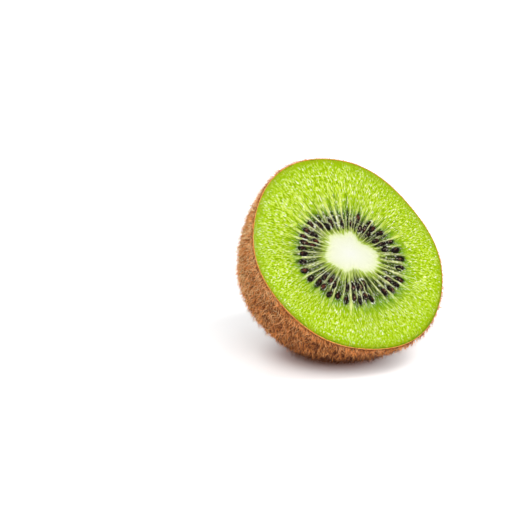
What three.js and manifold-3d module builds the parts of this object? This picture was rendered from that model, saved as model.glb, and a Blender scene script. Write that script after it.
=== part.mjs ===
// Half a kiwi fruit, cut crosswise, resting on the side of its skin with the cut face up and forward.
// Millimetres, +Z up, the cut face towards -Y. The origin is on the ground under the middle of the half.
// The layers are turned round the fruit's own axis as if it were perfectly round, and each point is
// then moved out or in to the uneven outline that the fruit, its seed zone and its core really have.

import * as THREE from "three";
import { mergeVertices } from "three/addons/utils/BufferGeometryUtils.js";
import Module from "manifold-3d";

// The fruit's size: mean radius of the cut section with its skin, and cut face to blossom end.
const SKIN_RADIUS = 25;
const HALF_LENGTH = 34.6;

// How it lies: the lean of the fruit's axis from upright, and how far its weight flattens it below.
const AXIS_LEAN = THREE.MathUtils.degToRad(53.9);
const REST_FLATTENING = 0.6;

// The layers: skin thickness, the space kept between neighbours, and each layer's radius and depth.
const SKIN_THICKNESS = 0.4;
const GAP = 0.25;
const SEED_ZONE_RADIUS = 15;
const SEED_ZONE_DEPTH = 28;
const CORE_RADIUS = 5.9;
const CORE_DEPTH = 25;
const CORE_BLUNTNESS = 2.8;

// Uneven outlines: each entry is a number of lobes, their share of the radius, and the first one's angle.
const CORE_LOBES = [
  [1, 0.083, 13],
  [2, 0.184, -22],
  [3, 0.116, -30],
  [4, 0.061, -28],
  [5, 0.038, -23],
  [6, 0.054, 4],
];
const SEED_ZONE_LOBES = [
  [1, 0.1, -90],
  [2, 0.076, -27],
  [3, 0.022, -33],
];
const SKIN_LOBES = [
  [2, 0.046, -55.4],
  [3, 0.0131, -39.8],
  [6, 0.007, -3.9],
];

// The cut face: the flesh swells a little, the seed zone sinks, and thin walls part its seed chambers.
const FLESH_SWELL = 0.35;
const SEED_ZONE_SINK = 0.3;
const CORE_SWELL = 0.3;
const CHAMBERS = 40;
const WALL_RIDGE = 0.2;
const WALL_FADE_RADIUS = 19;
const WALL_WANDER = 0.035;

// The seeds: drop shapes that lie along the chambers in an inner and an outer row.
const SEED_LENGTH = 2.3;
const SEED_WIDTH = 1.3;
const SEED_LEVEL = -0.22;
const SEED_TURN = 0.25;
const SEED_ROWS = [
  { radius: 9.3, share: 0.62, from: -180, to: 180 },
  { radius: 12, share: 0.84, from: -235, to: 62 },
];
const ROW_SCATTER = 0.6;
const RANDOM_START = 73716;

// The blossom end: a shallow dimple with the dried remains of the flower in it.
const DIMPLE_DEPTH = 1.1;
const DIMPLE_RADIUS = 5;
const BLOSSOM_RADIUS = 3.3;
const BLOSSOM_HEIGHT = 1.9;
const BLOSSOM_MIDDLE = 0.45;
const BLOSSOM_EDGE = 0.7;
const BLOSSOM_CURL = 0.4;
const BLOSSOM_CURLS = 6;
const BLOSSOM_LOBES = [
  [5, 0.16, 20],
  [3, 0.08, 75],
];

// Facets: around the skin, around the cut layers (two to a chamber), around a seed and around the
// blossom remains, and rows of facets down the skin, the flesh, the inner layers and the remains.
const SKIN_SIDES = 64;
const LAYER_SIDES = 2 * CHAMBERS;
const SEED_SIDES = 6;
const BLOSSOM_SIDES = 20;
const SKIN_ROWS = 15;
const FLESH_ROWS = 9;
const INNER_ROWS = 5;
const BLOSSOM_ROWS = 4;

// A point this close to the plane of the cut belongs to the cut face.
const FACE_MARGIN = 1e-6;

const { cos, sin, sqrt, exp, hypot, atan2, min, max, PI } = Math;
const { degToRad, lerp, mapLinear, smoothstep } = THREE.MathUtils;

const wasm = await Module();
wasm.setup();

// One radius of a lobed outline, which is a mean radius with a few waves round it.
function lobed(radius, lobes, angle) {
  const waves = lobes.map(([count, share, at]) => share * cos(count * (angle - degToRad(at))));
  return radius * (1 + waves.reduce((sum, wave) => sum + wave, 0));
}

const OUTLINES = [
  { radius: CORE_RADIUS, lobes: CORE_LOBES },
  { radius: SEED_ZONE_RADIUS, lobes: SEED_ZONE_LOBES },
  { radius: SKIN_RADIUS, lobes: SKIN_LOBES },
];

// Turns a radius of the perfectly round fruit into the real one at that angle, in the cut face.
function unevenRadius(round, angle) {
  let inner = { round: 0, real: 0 };
  for (const { radius, lobes } of OUTLINES) {
    const outer = { round: radius, real: lobed(radius, lobes, angle) };
    if (round <= radius || radius === SKIN_RADIUS) {
      return mapLinear(round, inner.round, outer.round, inner.real, outer.real);
    }
    inner = outer;
  }
}

// The chambers' walls wander a little to either side on their way round.
function wander(angle) {
  return angle + WALL_WANDER * (sin(3 * angle + 1) + 0.6 * sin(7 * angle + 2));
}

// Height of the cut face above its plane, at a radius of the round fruit.
function faceRelief(round, angle) {
  if (round <= CORE_RADIUS) return CORE_SWELL * (1 - (round / CORE_RADIUS) ** 2);
  const wall = WALL_RIDGE * cos(CHAMBERS * angle);
  if (round <= SEED_ZONE_RADIUS) {
    const across = sin((PI * (round - CORE_RADIUS)) / (SEED_ZONE_RADIUS - CORE_RADIUS));
    return across * wall - across * SEED_ZONE_SINK;
  }
  const across = sin((PI * (round - SEED_ZONE_RADIUS)) / (SKIN_RADIUS - SEED_ZONE_RADIUS));
  const fade = 1 - smoothstep(round, SEED_ZONE_RADIUS, WALL_FADE_RADIUS);
  return across * (FLESH_SWELL + fade * wall);
}

// How far the blossom end is pushed in, near the axis and only in the half that ends there.
function dimple(round, depth) {
  const near = smoothstep(depth, HALF_LENGTH / 2, HALF_LENGTH);
  return DIMPLE_DEPTH * exp(-((round / DIMPLE_RADIUS) ** 2)) * near;
}

// Moves a point of the perfectly round fruit to its place in the real one.
function makeUneven(point) {
  const round = hypot(point.x, point.y);
  const turned = atan2(point.y, point.x);
  const angle = wander(turned);
  const shrink = sqrt(max(1 - (point.z / HALF_LENGTH) ** 2, 0.01));
  const real = shrink * unevenRadius(round / shrink, angle);
  const inFace = point.z > -FACE_MARGIN;
  const height = inFace ? faceRelief(round, turned) : point.z + dimple(round, -point.z);
  return point.set(real * cos(angle), real * sin(angle), height);
}

// Points from the axis at the bottom up a quarter oval to the cut face.
function quarter(radius, depth, rows, bluntness = 2) {
  return Array.from({ length: rows + 1 }, (_, row) => {
    const turn = (PI / 2) * (1 - row / rows);
    const out = row === 0 ? 0 : cos(turn) ** (2 / bluntness);
    return new THREE.Vector2(radius * out, row === rows ? 0 : -depth * sin(turn) ** (2 / bluntness));
  });
}

// Points across the cut face, the two ends left out.
function across(fromRadius, toRadius, steps) {
  return Array.from({ length: steps - 1 }, (_, step) => {
    return new THREE.Vector2(lerp(fromRadius, toRadius, (step + 1) / steps), 0);
  });
}

// Joins shared vertices, and drops the flat triangles that a lathe leaves on its axis.
function welded(geometry) {
  geometry.deleteAttribute("normal");
  geometry.deleteAttribute("uv");
  const whole = mergeVertices(geometry, 1e-4);
  const corners = Array.from(whole.index.array);
  const kept = corners.filter((_, i) => {
    const [a, b, c] = corners.slice(i - (i % 3), i - (i % 3) + 3);
    return a !== b && b !== c && c !== a;
  });
  return whole.setIndex(kept);
}

// Turns a profile round the fruit's axis and moves each point, given with its place in the profile.
function turnedLayer(profile, sides, move) {
  const geometry = new THREE.LatheGeometry(profile, sides).rotateX(PI / 2);
  const places = geometry.attributes.position;
  const point = new THREE.Vector3();
  for (let i = 0; i < places.count; i++) {
    move(point.fromBufferAttribute(places, i), i % profile.length);
    places.setXYZ(i, point.x, point.y, point.z);
  }
  return welded(geometry);
}

// The direction that is up when the fruit lies, in the fruit's own frame, and the height along it.
const UP = new THREE.Vector3(0, sin(AXIS_LEAN), cos(AXIS_LEAN));

function lowestHeight(geometry) {
  const places = geometry.attributes.position;
  const heights = Array.from({ length: places.count }, (_, i) => {
    return new THREE.Vector3().fromBufferAttribute(places, i).dot(UP);
  });
  return min(...heights);
}

// The ground's height in the same frame, found on a finer copy of the whole half.
const FINE = 3;
const wholeHalf = [...quarter(SKIN_RADIUS, HALF_LENGTH, FINE * SKIN_ROWS), new THREE.Vector2(0, 0)];
const GROUND = lowestHeight(turnedLayer(wholeHalf, FINE * SKIN_SIDES, makeUneven)) + REST_FLATTENING;

// Lifts a point that lies lower than a level above the ground, because the fruit's weight flattens it.
function settle(point, level) {
  return point.addScaledVector(UP, max(level - (point.dot(UP) - GROUND), 0));
}

function solidOf(geometry) {
  return new wasm.Manifold(
    new wasm.Mesh({
      numProp: 3,
      vertProperties: new Float32Array(geometry.attributes.position.array),
      triVerts: new Uint32Array(geometry.index.array),
    }),
  );
}

function geometryOf(solid) {
  const { vertProperties, triVerts } = solid.getMesh();
  const geometry = new THREE.BufferGeometry();
  geometry.setAttribute("position", new THREE.BufferAttribute(new Float32Array(vertProperties), 3));
  return geometry.setIndex(Array.from(triVerts));
}

// A cup from one quarter oval outside to another inside, with its rim in the cut face.
function cup(outer, rim, inner, level = 0) {
  const profile = [...outer, ...rim, ...inner.reverse()];
  return turnedLayer(profile, LAYER_SIDES, (point) => settle(makeUneven(point), level));
}

// The skin is a thin cup, with its inner side lifted off the ground and the flat rest cut below it.
function skin() {
  const outer = quarter(SKIN_RADIUS, HALF_LENGTH, SKIN_ROWS);
  const inner = quarter(SKIN_RADIUS - SKIN_THICKNESS, HALF_LENGTH - SKIN_THICKNESS, FLESH_ROWS).reverse();
  const cupped = turnedLayer([...outer, ...inner], SKIN_SIDES, (point, row) => {
    makeUneven(point);
    return row < outer.length ? point : settle(point, SKIN_THICKNESS);
  });
  const groundSize = 4 * SKIN_RADIUS;
  const ground = new THREE.BoxGeometry(groundSize, groundSize, groundSize);
  ground.translate(0, 0, GROUND - groundSize / 2).rotateX(-AXIS_LEAN);
  return geometryOf(solidOf(cupped).subtract(solidOf(welded(ground))));
}

// The pale green outer flesh fills the skin and holds the seed zone.
function outerFlesh() {
  const inset = SKIN_THICKNESS + GAP;
  const radius = SKIN_RADIUS - inset;
  const hollow = SEED_ZONE_RADIUS + GAP;
  const outer = quarter(radius, HALF_LENGTH - inset, FLESH_ROWS);
  const inner = quarter(hollow, SEED_ZONE_DEPTH + GAP, INNER_ROWS);
  return cup(outer, across(radius, hollow, 5), inner, inset);
}

// A seed is a drop turned round its length, with its point towards the core.
function seed(draw) {
  const half = (SEED_LENGTH * lerp(0.88, 1.1, draw())) / 2;
  const radius = (SEED_WIDTH * lerp(0.88, 1.08, draw())) / 2;
  const profile = [
    [0, -half],
    [0.82 * radius, -0.4 * half],
    [radius, 0.42 * half],
    [0, half],
  ];
  const points = profile.map(([out, along]) => new THREE.Vector2(out, along));
  return welded(new THREE.LatheGeometry(points, SEED_SIDES).rotateZ(-PI / 2));
}

// A steady source of random draws between 0 and 1, the same on each run.
function randomDraws(start) {
  let state = start;
  return () => {
    state = (state * 48271) % 2147483647;
    return state / 2147483647;
  };
}

// The seeds of one row: some of the chambers between two angles hold one, a little out of line.
function rowOfSeeds({ radius, share, from, to }, draw) {
  const seeds = [];
  for (let chamber = 0; chamber < CHAMBERS; chamber++) {
    const middle = from + ((chamber + 0.5) * 360) / CHAMBERS;
    const [filled, along, aside, turn] = [draw(), draw(), draw(), draw()];
    const grown = seed(draw);
    if (filled > share || middle > to) continue;
    const angle = wander(degToRad(middle + ((aside - 0.5) * 120) / CHAMBERS));
    const out = unevenRadius(radius + ROW_SCATTER * (2 * along - 1), angle);
    grown.rotateZ(angle + SEED_TURN * (2 * turn - 1));
    seeds.push(grown.translate(out * cos(angle), out * sin(angle), SEED_LEVEL));
  }
  return seeds;
}

// The darker seed zone is a cup round the core, with its seeds half sunk in the cut face.
function seedZone() {
  const hole = CORE_RADIUS + GAP;
  const outer = quarter(SEED_ZONE_RADIUS, SEED_ZONE_DEPTH, INNER_ROWS);
  const inner = quarter(hole, CORE_DEPTH + GAP, INNER_ROWS, CORE_BLUNTNESS);
  const flesh = cup(outer, across(SEED_ZONE_RADIUS, hole, 7), inner);
  const draw = randomDraws(RANDOM_START);
  const seeds = SEED_ROWS.flatMap((row) => rowOfSeeds(row, draw));
  return geometryOf(seeds.reduce((solid, grown) => solid.add(solidOf(grown)), solidOf(flesh)));
}

// The white core runs most of the way down the fruit.
function core() {
  const side = quarter(CORE_RADIUS, CORE_DEPTH, INNER_ROWS, CORE_BLUNTNESS);
  const profile = [...side, ...across(CORE_RADIUS, 0, 3), new THREE.Vector2(0, 0)];
  return turnedLayer(profile, LAYER_SIDES / 2, makeUneven);
}

// The height of the skin's outside near the axis, where the blossom end is.
function tipHeight(out) {
  return dimple(out, HALF_LENGTH) - HALF_LENGTH * sqrt(1 - (out / SKIN_RADIUS) ** 2);
}

// The dried remains of the flower are a ragged low crown that sits in the dimple: it stands highest
// in a ring halfway out, falls to a thin edge, and its edge is lobed and curls up and down.
function blossomEnd() {
  const shares = Array.from({ length: BLOSSOM_ROWS + 1 }, (_, row) => row / BLOSSOM_ROWS);
  const seat = shares.map((share) => tipHeight(share * BLOSSOM_RADIUS) - GAP);
  const crown = shares.map((share) => BLOSSOM_HEIGHT * lerp(BLOSSOM_MIDDLE, 1, sin(PI * share)));
  const edge = (row) => (row === BLOSSOM_ROWS ? BLOSSOM_EDGE : 1);
  const below = shares.map((share, row) => {
    return new THREE.Vector2(share * BLOSSOM_RADIUS, seat[row] - edge(row) * crown[row]);
  });
  const above = shares.map((share, row) => new THREE.Vector2(share * BLOSSOM_RADIUS, seat[row]));
  return turnedLayer([...below, ...above.reverse()], BLOSSOM_SIDES, (point, row) => {
    const angle = atan2(point.y, point.x);
    const spread = lobed(1, BLOSSOM_LOBES, angle);
    const raised = row > 0 && row < BLOSSOM_ROWS;
    const curl = raised ? BLOSSOM_CURL * sin(BLOSSOM_CURLS * angle + 2 * row) : 0;
    return point.set(spread * point.x, spread * point.y, point.z - curl);
  });
}

function named(name, geometry, colour, roughness) {
  const material = new THREE.MeshStandardMaterial({ color: colour, roughness, metalness: 0 });
  material.flatShading = true;
  const mesh = new THREE.Mesh(geometry, material);
  mesh.name = name;
  return mesh;
}

// The fruit is built upright with its cut face on top, leant back, and set on the ground.
const fruit = new THREE.Group();
fruit.add(named("skin", skin(), "#9a6a3c", 0.9));
fruit.add(named("outer_flesh", outerFlesh(), "#b6dc42", 0.35));
fruit.add(named("seed_zone", seedZone(), "#6f9a2c", 0.4));
fruit.add(named("core", core(), "#f6f8de", 0.5));
fruit.add(named("blossom_end", blossomEnd(), "#3f2a1a", 0.95));
fruit.rotation.x = AXIS_LEAN;

const half = new THREE.Group();
half.add(fruit);
half.updateMatrixWorld(true);
const extent = new THREE.Box3().setFromObject(half, true);
const middle = extent.getCenter(new THREE.Vector3());
fruit.position.set(-middle.x, -middle.y, -extent.min.z);

export default half;
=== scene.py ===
"""Half a kiwi fruit, cut crosswise and lying on its fuzzy skin: the finish of each piece round its solids.

Shapes are worked out in the fruit's own frame, in millimetres, by the same rules and sizes as the solids:
the origin is the middle of the cut, +Z points out of the cut face, +X to the right and +Y up in the face.
They are then leant back, set on the ground, and turned into metres in the model's frame.
"""

import logging
from dataclasses import dataclass
from enum import Enum
from typing import Any, Iterator, Sequence

import bpy
import numpy as np
from mathutils import Matrix, Vector

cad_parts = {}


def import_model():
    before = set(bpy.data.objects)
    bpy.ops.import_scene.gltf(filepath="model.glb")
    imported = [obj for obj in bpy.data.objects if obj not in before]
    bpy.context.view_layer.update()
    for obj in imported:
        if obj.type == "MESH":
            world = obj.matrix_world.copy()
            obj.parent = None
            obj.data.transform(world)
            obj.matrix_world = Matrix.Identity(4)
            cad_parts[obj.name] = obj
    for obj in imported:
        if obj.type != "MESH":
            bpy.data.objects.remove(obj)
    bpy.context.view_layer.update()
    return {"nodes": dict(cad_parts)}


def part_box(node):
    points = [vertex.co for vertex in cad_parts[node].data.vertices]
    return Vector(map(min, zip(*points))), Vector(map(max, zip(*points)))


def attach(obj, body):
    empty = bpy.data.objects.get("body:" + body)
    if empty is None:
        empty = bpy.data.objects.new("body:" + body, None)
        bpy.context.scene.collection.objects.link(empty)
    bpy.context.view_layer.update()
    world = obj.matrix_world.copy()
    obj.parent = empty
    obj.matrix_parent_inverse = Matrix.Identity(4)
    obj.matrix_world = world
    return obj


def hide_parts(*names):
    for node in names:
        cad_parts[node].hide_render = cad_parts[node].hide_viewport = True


Array = np.ndarray
Material = bpy.types.Material
Piece = bpy.types.Object
Socket = bpy.types.NodeSocket

log = logging.getLogger("half_kiwi")

BODY = "root"
MM = 0.001
FULL_TURN = 2 * np.pi
BAKE_MAP = "OFBake"
SHARP_DEGREES = 60.0


# Small helpers: steps, noise and colour

def smoothstep(low: float, high: float, value: Array) -> Array:
    """Rises smoothly from 0 at low to 1 at high, as 3t² - 2t³."""
    share = np.clip((value - low) / (high - low), 0, 1)
    return share * share * (3 - 2 * share)


def blend(start: Any, end: Any, share: Any) -> Any:
    """Goes straight from start to end as share goes from 0 to 1."""
    return start + (end - start) * share


def unit(vectors: Array) -> Array:
    """Each vector at length 1."""
    return vectors / np.maximum(np.linalg.norm(vectors, axis=-1, keepdims=True), 1e-12)


def cell_value(cell: Array, seed: int) -> Array:
    """A steady random number from 0 to 1 for each whole-number cell.

    Args:
        cell: whole numbers, (..., 3).
        seed: picks another set of numbers.

    Returns:
        The numbers, (...), from the cell's three numbers times large primes, with their bits mixed.
    """
    mixed = cell[..., 0] * 73856093 ^ cell[..., 1] * 19349663 ^ cell[..., 2] * 83492791 ^ seed * 2654435761
    mixed = (mixed & 0xFFFFFFFF) * 2246822519 & 0xFFFFFFFF
    mixed = (mixed ^ mixed >> 15) * 3266489917 & 0xFFFFFFFF
    return (mixed ^ mixed >> 13) / 0xFFFFFFFF


def noise(places: Array, seed: int) -> Array:
    """Smooth noise from -1 to 1 with one wave to a unit.

    Args:
        places: points, (..., 3).
        seed: picks another pattern.

    Returns:
        Random values at the eight whole-number points round each place, weighed by 3t² - 2t³ on each axis.
    """
    low = np.floor(places).astype(np.int64)
    share = places - low
    share = share * share * (3 - 2 * share)
    total = np.zeros(places.shape[:-1])
    for corner in np.ndindex(2, 2, 2):
        weight = np.prod(np.where(corner, share, 1 - share), axis=-1)
        total += weight * cell_value(low + np.array(corner), seed)
    return 2 * total - 1


def bell(off: Array, width: Array | float) -> Array:
    """A bell of the distance off its middle: 1 there, and exp(-1) at its width."""
    return np.exp(-((off / width) ** 2))


def layered_noise(places: Array, octaves: int, seed: int) -> Array:
    """Noise plus the same at twice the fineness and half the strength, and so on, from about -1 to 1."""
    layers = [noise(places * 2**octave, seed + octave) / 2**octave for octave in range(octaves)]
    return np.sum(layers, axis=0) / (2 - 2.0 ** (1 - octaves))


def even_turns(count: int) -> Array:
    """Angles in even steps round a full turn, from 0."""
    return np.arange(count) / count * FULL_TURN


def quarter_turns(rows: int) -> Array:
    """Angles in even steps from just under 90 degrees, at a layer's end, to 0, at the cut."""
    return np.pi / 2 * (1 - np.arange(1, rows + 1) / rows)


def nearest_centre(places: Array, seed: int) -> Array:
    """How far each place is from the nearest of random centres, one to a unit cell.

    Args:
        places: points, (..., 3).
        seed: picks another pattern.

    Returns:
        The distance, (...), the least over the 27 cells round a place.
    """
    low = np.floor(places).astype(np.int64)
    nearest = np.full(places.shape[:-1], np.inf)
    for offset in np.ndindex(3, 3, 3):
        cell = low + np.array(offset) - 1
        shift = np.stack([cell_value(cell, seed + axis) for axis in range(3)], axis=-1)
        nearest = np.minimum(nearest, np.linalg.norm(cell + shift - places, axis=-1))
    return nearest


def linear(colour: str) -> tuple[float, float, float, float]:
    """Turns an sRGB colour into the linear one that nodes take.

    Args:
        colour: a hex colour such as #8fb23a.

    Returns:
        Linear red, green, blue and an alpha of 1.
    """
    parts = [int(colour[place : place + 2], 16) / 255 for place in (1, 3, 5)]
    red, green, blue = (
        part / 12.92 if part <= 0.04045 else ((part + 0.055) / 1.055) ** 2.4 for part in parts
    )
    return red, green, blue, 1.0


# Materials

def node(
    tree: bpy.types.NodeTree,
    kind: str,
    inputs: dict[str | int, Any] | None = None,
    stops: Sequence[tuple[float, str]] = (),
    **settings: Any,
) -> bpy.types.Node:
    """Adds one node with its settings and links.

    Args:
        tree: the node tree it joins.
        kind: its type, such as ShaderNodeMix.
        inputs: for a socket's name or number, a value or the output it is linked to.
        stops: for a colour ramp, its places from 0 to 1 and their hex colours.
        settings: its own properties.

    Returns:
        The node.
    """
    made = tree.nodes.new(kind)
    for name, value in settings.items():
        setattr(made, name, value)
    for key, value in (inputs or {}).items():
        if isinstance(value, Socket):
            tree.links.new(value, made.inputs[key])
        else:
            made.inputs[key].default_value = value
    if stops:
        elements = made.color_ramp.elements
        while len(elements) < len(stops):
            elements.new(0.5)
        for element, (place, colour) in zip(elements, stops):
            element.position = place
            element.color = linear(colour)
    return made


class Look:
    """A material that is being put together, with the steps that the finishes share.

    Each step takes plain values or sockets, adds one or two nodes, and gives the socket with its result.
    """

    def __init__(self, name: str) -> None:
        """Starts an empty material.

        Args:
            name: its name.
        """
        self.material = bpy.data.materials.new(name)
        self.material.use_nodes = True
        self.tree = self.material.node_tree
        self.tree.nodes.clear()

    def place(self) -> Socket:
        """The point of the surface in the piece's own space."""
        return node(self.tree, "ShaderNodeTexCoord").outputs["Object"]

    def attribute(self, name: str, output: str = "Fac") -> Socket:
        """The number or the vector of a piece's own attribute."""
        return node(self.tree, "ShaderNodeAttribute", attribute_name=name).outputs[output]

    def noise(self, place: Socket, size_mm: float, detail: float = 2.0, roughness: float = 0.5) -> Socket:
        """Noise whose waves are of that size."""
        return node(self.tree, "ShaderNodeTexNoise", {
            "Vector": place, "Scale": 1 / (size_mm * MM), "Detail": detail, "Roughness": roughness,
        }).outputs["Fac"]

    def stretched_noise(self, place: Socket, scale: tuple[float, float, float], detail: float) -> Socket:
        """Noise with its own number of waves to a unit along each axis of the place."""
        scaled = node(self.tree, "ShaderNodeMapping", {"Vector": place, "Scale": scale}).outputs[0]
        return node(self.tree, "ShaderNodeTexNoise", {
            "Vector": scaled, "Scale": 1.0, "Detail": detail, "Roughness": 0.5,
        }).outputs["Fac"]

    def maths(self, operation: str, *values: Any) -> Socket:
        """One sum on one to three values."""
        return node(self.tree, "ShaderNodeMath", dict(enumerate(values)), operation=operation).outputs[0]

    def spread(self, value: Socket, low: float, high: float, start: float = 0.0, end: float = 1.0,
               shape: str = "LINEAR") -> Socket:
        """Turns low to high into start to end, and holds the result at both ends."""
        return node(self.tree, "ShaderNodeMapRange", {
            "Value": value, "From Min": low, "From Max": high, "To Min": start, "To Max": end,
        }, interpolation_type=shape).outputs[0]

    def step(self, value: Socket, low: float, high: float, shown: Any = 1.0) -> Socket:
        """A smooth step from low to high times how much of it is shown."""
        return self.maths("MULTIPLY", self.spread(value, low, high, shape="SMOOTHSTEP"), shown)

    def ramp(self, value: Socket, stops: Sequence[tuple[float, str]], reach: float = 1.0) -> Socket:
        """The colour at a value from 0 to 1, between stops whose places run from 0 to the reach."""
        shares = [(place / reach, colour) for place, colour in stops]
        return node(self.tree, "ShaderNodeValToRGB", {"Fac": value}, stops=shares).outputs["Color"]

    def mix(self, share: Socket, start: Any, end: Any) -> Socket:
        """A colour that goes from start to end with the share."""
        return node(self.tree, "ShaderNodeMix", {"Factor": share, "A": start, "B": end},
                    data_type="RGBA").outputs["Result"]

    def bump(self, height: Socket, depth_mm: float, strength: float) -> Socket:
        """The normal of a surface with fine relief of that depth."""
        return node(self.tree, "ShaderNodeBump", {
            "Height": height, "Distance": depth_mm * MM, "Strength": strength,
        }).outputs[0]

    def finish(self, inputs: dict[str | int, Any]) -> Material:
        """Adds the surface shader and the output.

        Args:
            inputs: the shader's values and links, by socket.

        Returns:
            The material.
        """
        surface = node(self.tree, "ShaderNodeBsdfPrincipled", inputs)
        node(self.tree, "ShaderNodeOutputMaterial", {"Surface": surface.outputs["BSDF"]})
        return self.material


@dataclass(frozen=True)
class CutTissue:
    """Wet cut fruit tissue: soft, slightly see-through cells with a clear film of juice on the swollen ones.

    The eye gets small sharp glints from the juice's coat with painted glints on top, pale grains of swollen
    cells over deeper green, and colour that changes with the distance from the core.
    """

    name: str
    roughness: float
    juice: float
    scatter: float
    relief_mm: float

    # Colours from the core's middle to the skin, by radius of the round fruit in millimetres.
    OUTSIDE = 25.0
    GROUND = (
        (0.0, "#e8e9de"), (4.4, "#e4e7ca"), (5.6, "#dce4ac"), (6.05, "#aac24a"), (6.9, "#9ab634"),
        (8.5, "#4c6406"), (11.8, "#385002"), (13.2, "#649402"), (15.0, "#96ba0a"), (18.0, "#b0d010"),
        (22.0, "#acce0e"), (23.7, "#9cc00a"), (24.5, "#98b20a"), (24.85, "#94a60e"), (25.0, "#6c9402"),
    )
    RAYS = ((0.0, "#f8f9e8"), (6.5, "#eef4a2"), (11.0, "#f4f8b4"), (15.0, "#e2ee70"), (20.0, "#d2e650"))
    GRAIN = "#d6ea62"
    PIT = "#84a602"
    SHADE = "#3a6a00"
    # The glint colour is a painted highlight on the pale grains; the film colour is the pale film of pulp and
    # painted glints as well.
    GLINT = "#faf7e6"
    CLEFT = "#0b1002"
    DEEP = "#0e0603"
    PALE_FILM_AND_GLINT = "#fafce8"

    # Four noises on the face's grain, each with its scales and detail: cells, light, painted glints and
    # painted glint flecks.
    NOISES = (((3.9, 3.9, 1.4), 1.0), ((6.0, 6.0, 4.0), 2.0), ((5.0, 5.0, 2.0), 0.5), ((3.8, 3.8, 3.4), 0.0))

    # Where in its noise each mark starts to show and where it is full, and how far the light goes.
    SWOLLEN_AT = (0.48, 0.62)
    PALE_AT = (0.5, 0.6)
    PIT_AT = (0.45, 0.36)
    GLINT_AT = (0.57, 0.66)
    GLINT_FLECK_AT = (0.63, 0.72)
    LIGHT = (0.3, 0.7, 0.66, 0.88)
    FINE_RELIEF = 0.35
    DRY_COAT = 0.04

    def material(self) -> Material:
        """Ground colour by radius, then rays, pale grains, dark clefts with painted shade round the seeds,
        seeds deep in the pulp, pale film and painted glints.

        Returns:
            The material.
        """
        look = Look(self.name)
        grain = look.attribute("grain", "Vector")
        radius = look.maths("DIVIDE", look.attribute("zone"), self.OUTSIDE)
        ground, rays = (look.ramp(radius, stops, self.OUTSIDE) for stops in (self.GROUND, self.RAYS))
        cells, fine, sparks, spots = (look.stretched_noise(grain, *noise) for noise in self.NOISES)
        net = look.attribute("net")
        swollen = look.step(cells, *self.SWOLLEN_AT)
        pale = look.step(cells, *self.PALE_AT, net)
        colour = ground
        for mask, shade in (
            (look.step(cells, *self.PIT_AT, net), linear(self.PIT)),
            (look.attribute("shade"), linear(self.SHADE)),
            (look.attribute("ray"), rays),
            (pale, linear(self.GRAIN)),
            (look.attribute("cleft"), linear(self.CLEFT)),
            (look.attribute("deep"), linear(self.DEEP)),
            (look.attribute("film"), linear(self.PALE_FILM_AND_GLINT)),
            # Painted highlights: white glints on the pale grains, and white flecks in the seed ring.
            (look.step(sparks, *self.GLINT_AT, pale), linear(self.GLINT)),
            (look.step(spots, *self.GLINT_FLECK_AT, look.attribute("painted_glint_flecks")), linear(self.PALE_FILM_AND_GLINT)),
        ):
            colour = look.mix(mask, colour, shade)
        light = look.spread(fine, *self.LIGHT)
        height = look.maths("MULTIPLY_ADD", fine, self.FINE_RELIEF, swollen)
        return look.finish({
            "Base Color": node(look.tree, "ShaderNodeVectorMath", {0: colour, "Scale": light},
                               operation="SCALE").outputs[0],
            "Normal": look.bump(height, self.relief_mm, 1.0),
            "Roughness": self.roughness,
            "IOR": 1.36,
            "Specular IOR Level": 0.03,
            "Subsurface Weight": self.scatter,
            "Subsurface Radius": (1.0, 1.0, 0.35),
            "Subsurface Scale": 0.5 * MM,
            "Coat Weight": look.maths("MULTIPLY_ADD", swollen, self.juice, self.DRY_COAT),
            "Coat Roughness": 0.12,
            "Coat IOR": 1.34,
        })


@dataclass(frozen=True)
class SeedCoat:
    """The hard coat of a ripe seed: near black with a reddish-brown crown, partly its own colour and partly
    painted sheen, finely pitted, wet with juice, with painted glints.
    """

    name: str = "wet_kiwi_seed_coat"
    dark: str = "#0e0503"
    brown: str = "#52281a"
    glint_speck: str = "#b8b098"
    pit_mm: float = 0.16
    glint_speck_mm: float = 0.36
    patch_mm: float = 0.9
    crown_at: tuple[float, float] = (0.48, 0.72)
    glint_speck_at: tuple[float, float] = (0.62, 0.7)
    glint_speck_share: float = 0.6

    def material(self) -> Material:
        """Dark at the edge and browner in patches on top, partly painted sheen, with fine pits, and pale
        specks painted on as glints.

        Returns:
            The material.
        """
        look = Look(self.name)
        place = look.place()
        pits = node(look.tree, "ShaderNodeTexVoronoi", {"Vector": place, "Scale": 1 / (self.pit_mm * MM)})
        patches = look.noise(place, self.patch_mm, 1.0)
        # The browner crown on top is partly painted sheen.
        crown = look.spread(look.maths("MULTIPLY", look.attribute("crown"), patches), *self.crown_at)
        coat = look.mix(crown, linear(self.dark), linear(self.brown))
        # Pale specks painted on as glints.
        glint_specks = look.spread(look.noise(place, self.glint_speck_mm, 1.0), *self.glint_speck_at, 0.0, self.glint_speck_share)
        return look.finish({
            "Base Color": look.mix(glint_specks, coat, linear(self.glint_speck)),
            "Normal": look.bump(pits.outputs["Distance"], 0.05, 0.6),
            "Roughness": 0.4,
            "Specular IOR Level": 0.02,
            "Coat Weight": 0.16,
            "Coat Roughness": 0.08,
            "Coat IOR": 1.36,
        })


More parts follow.
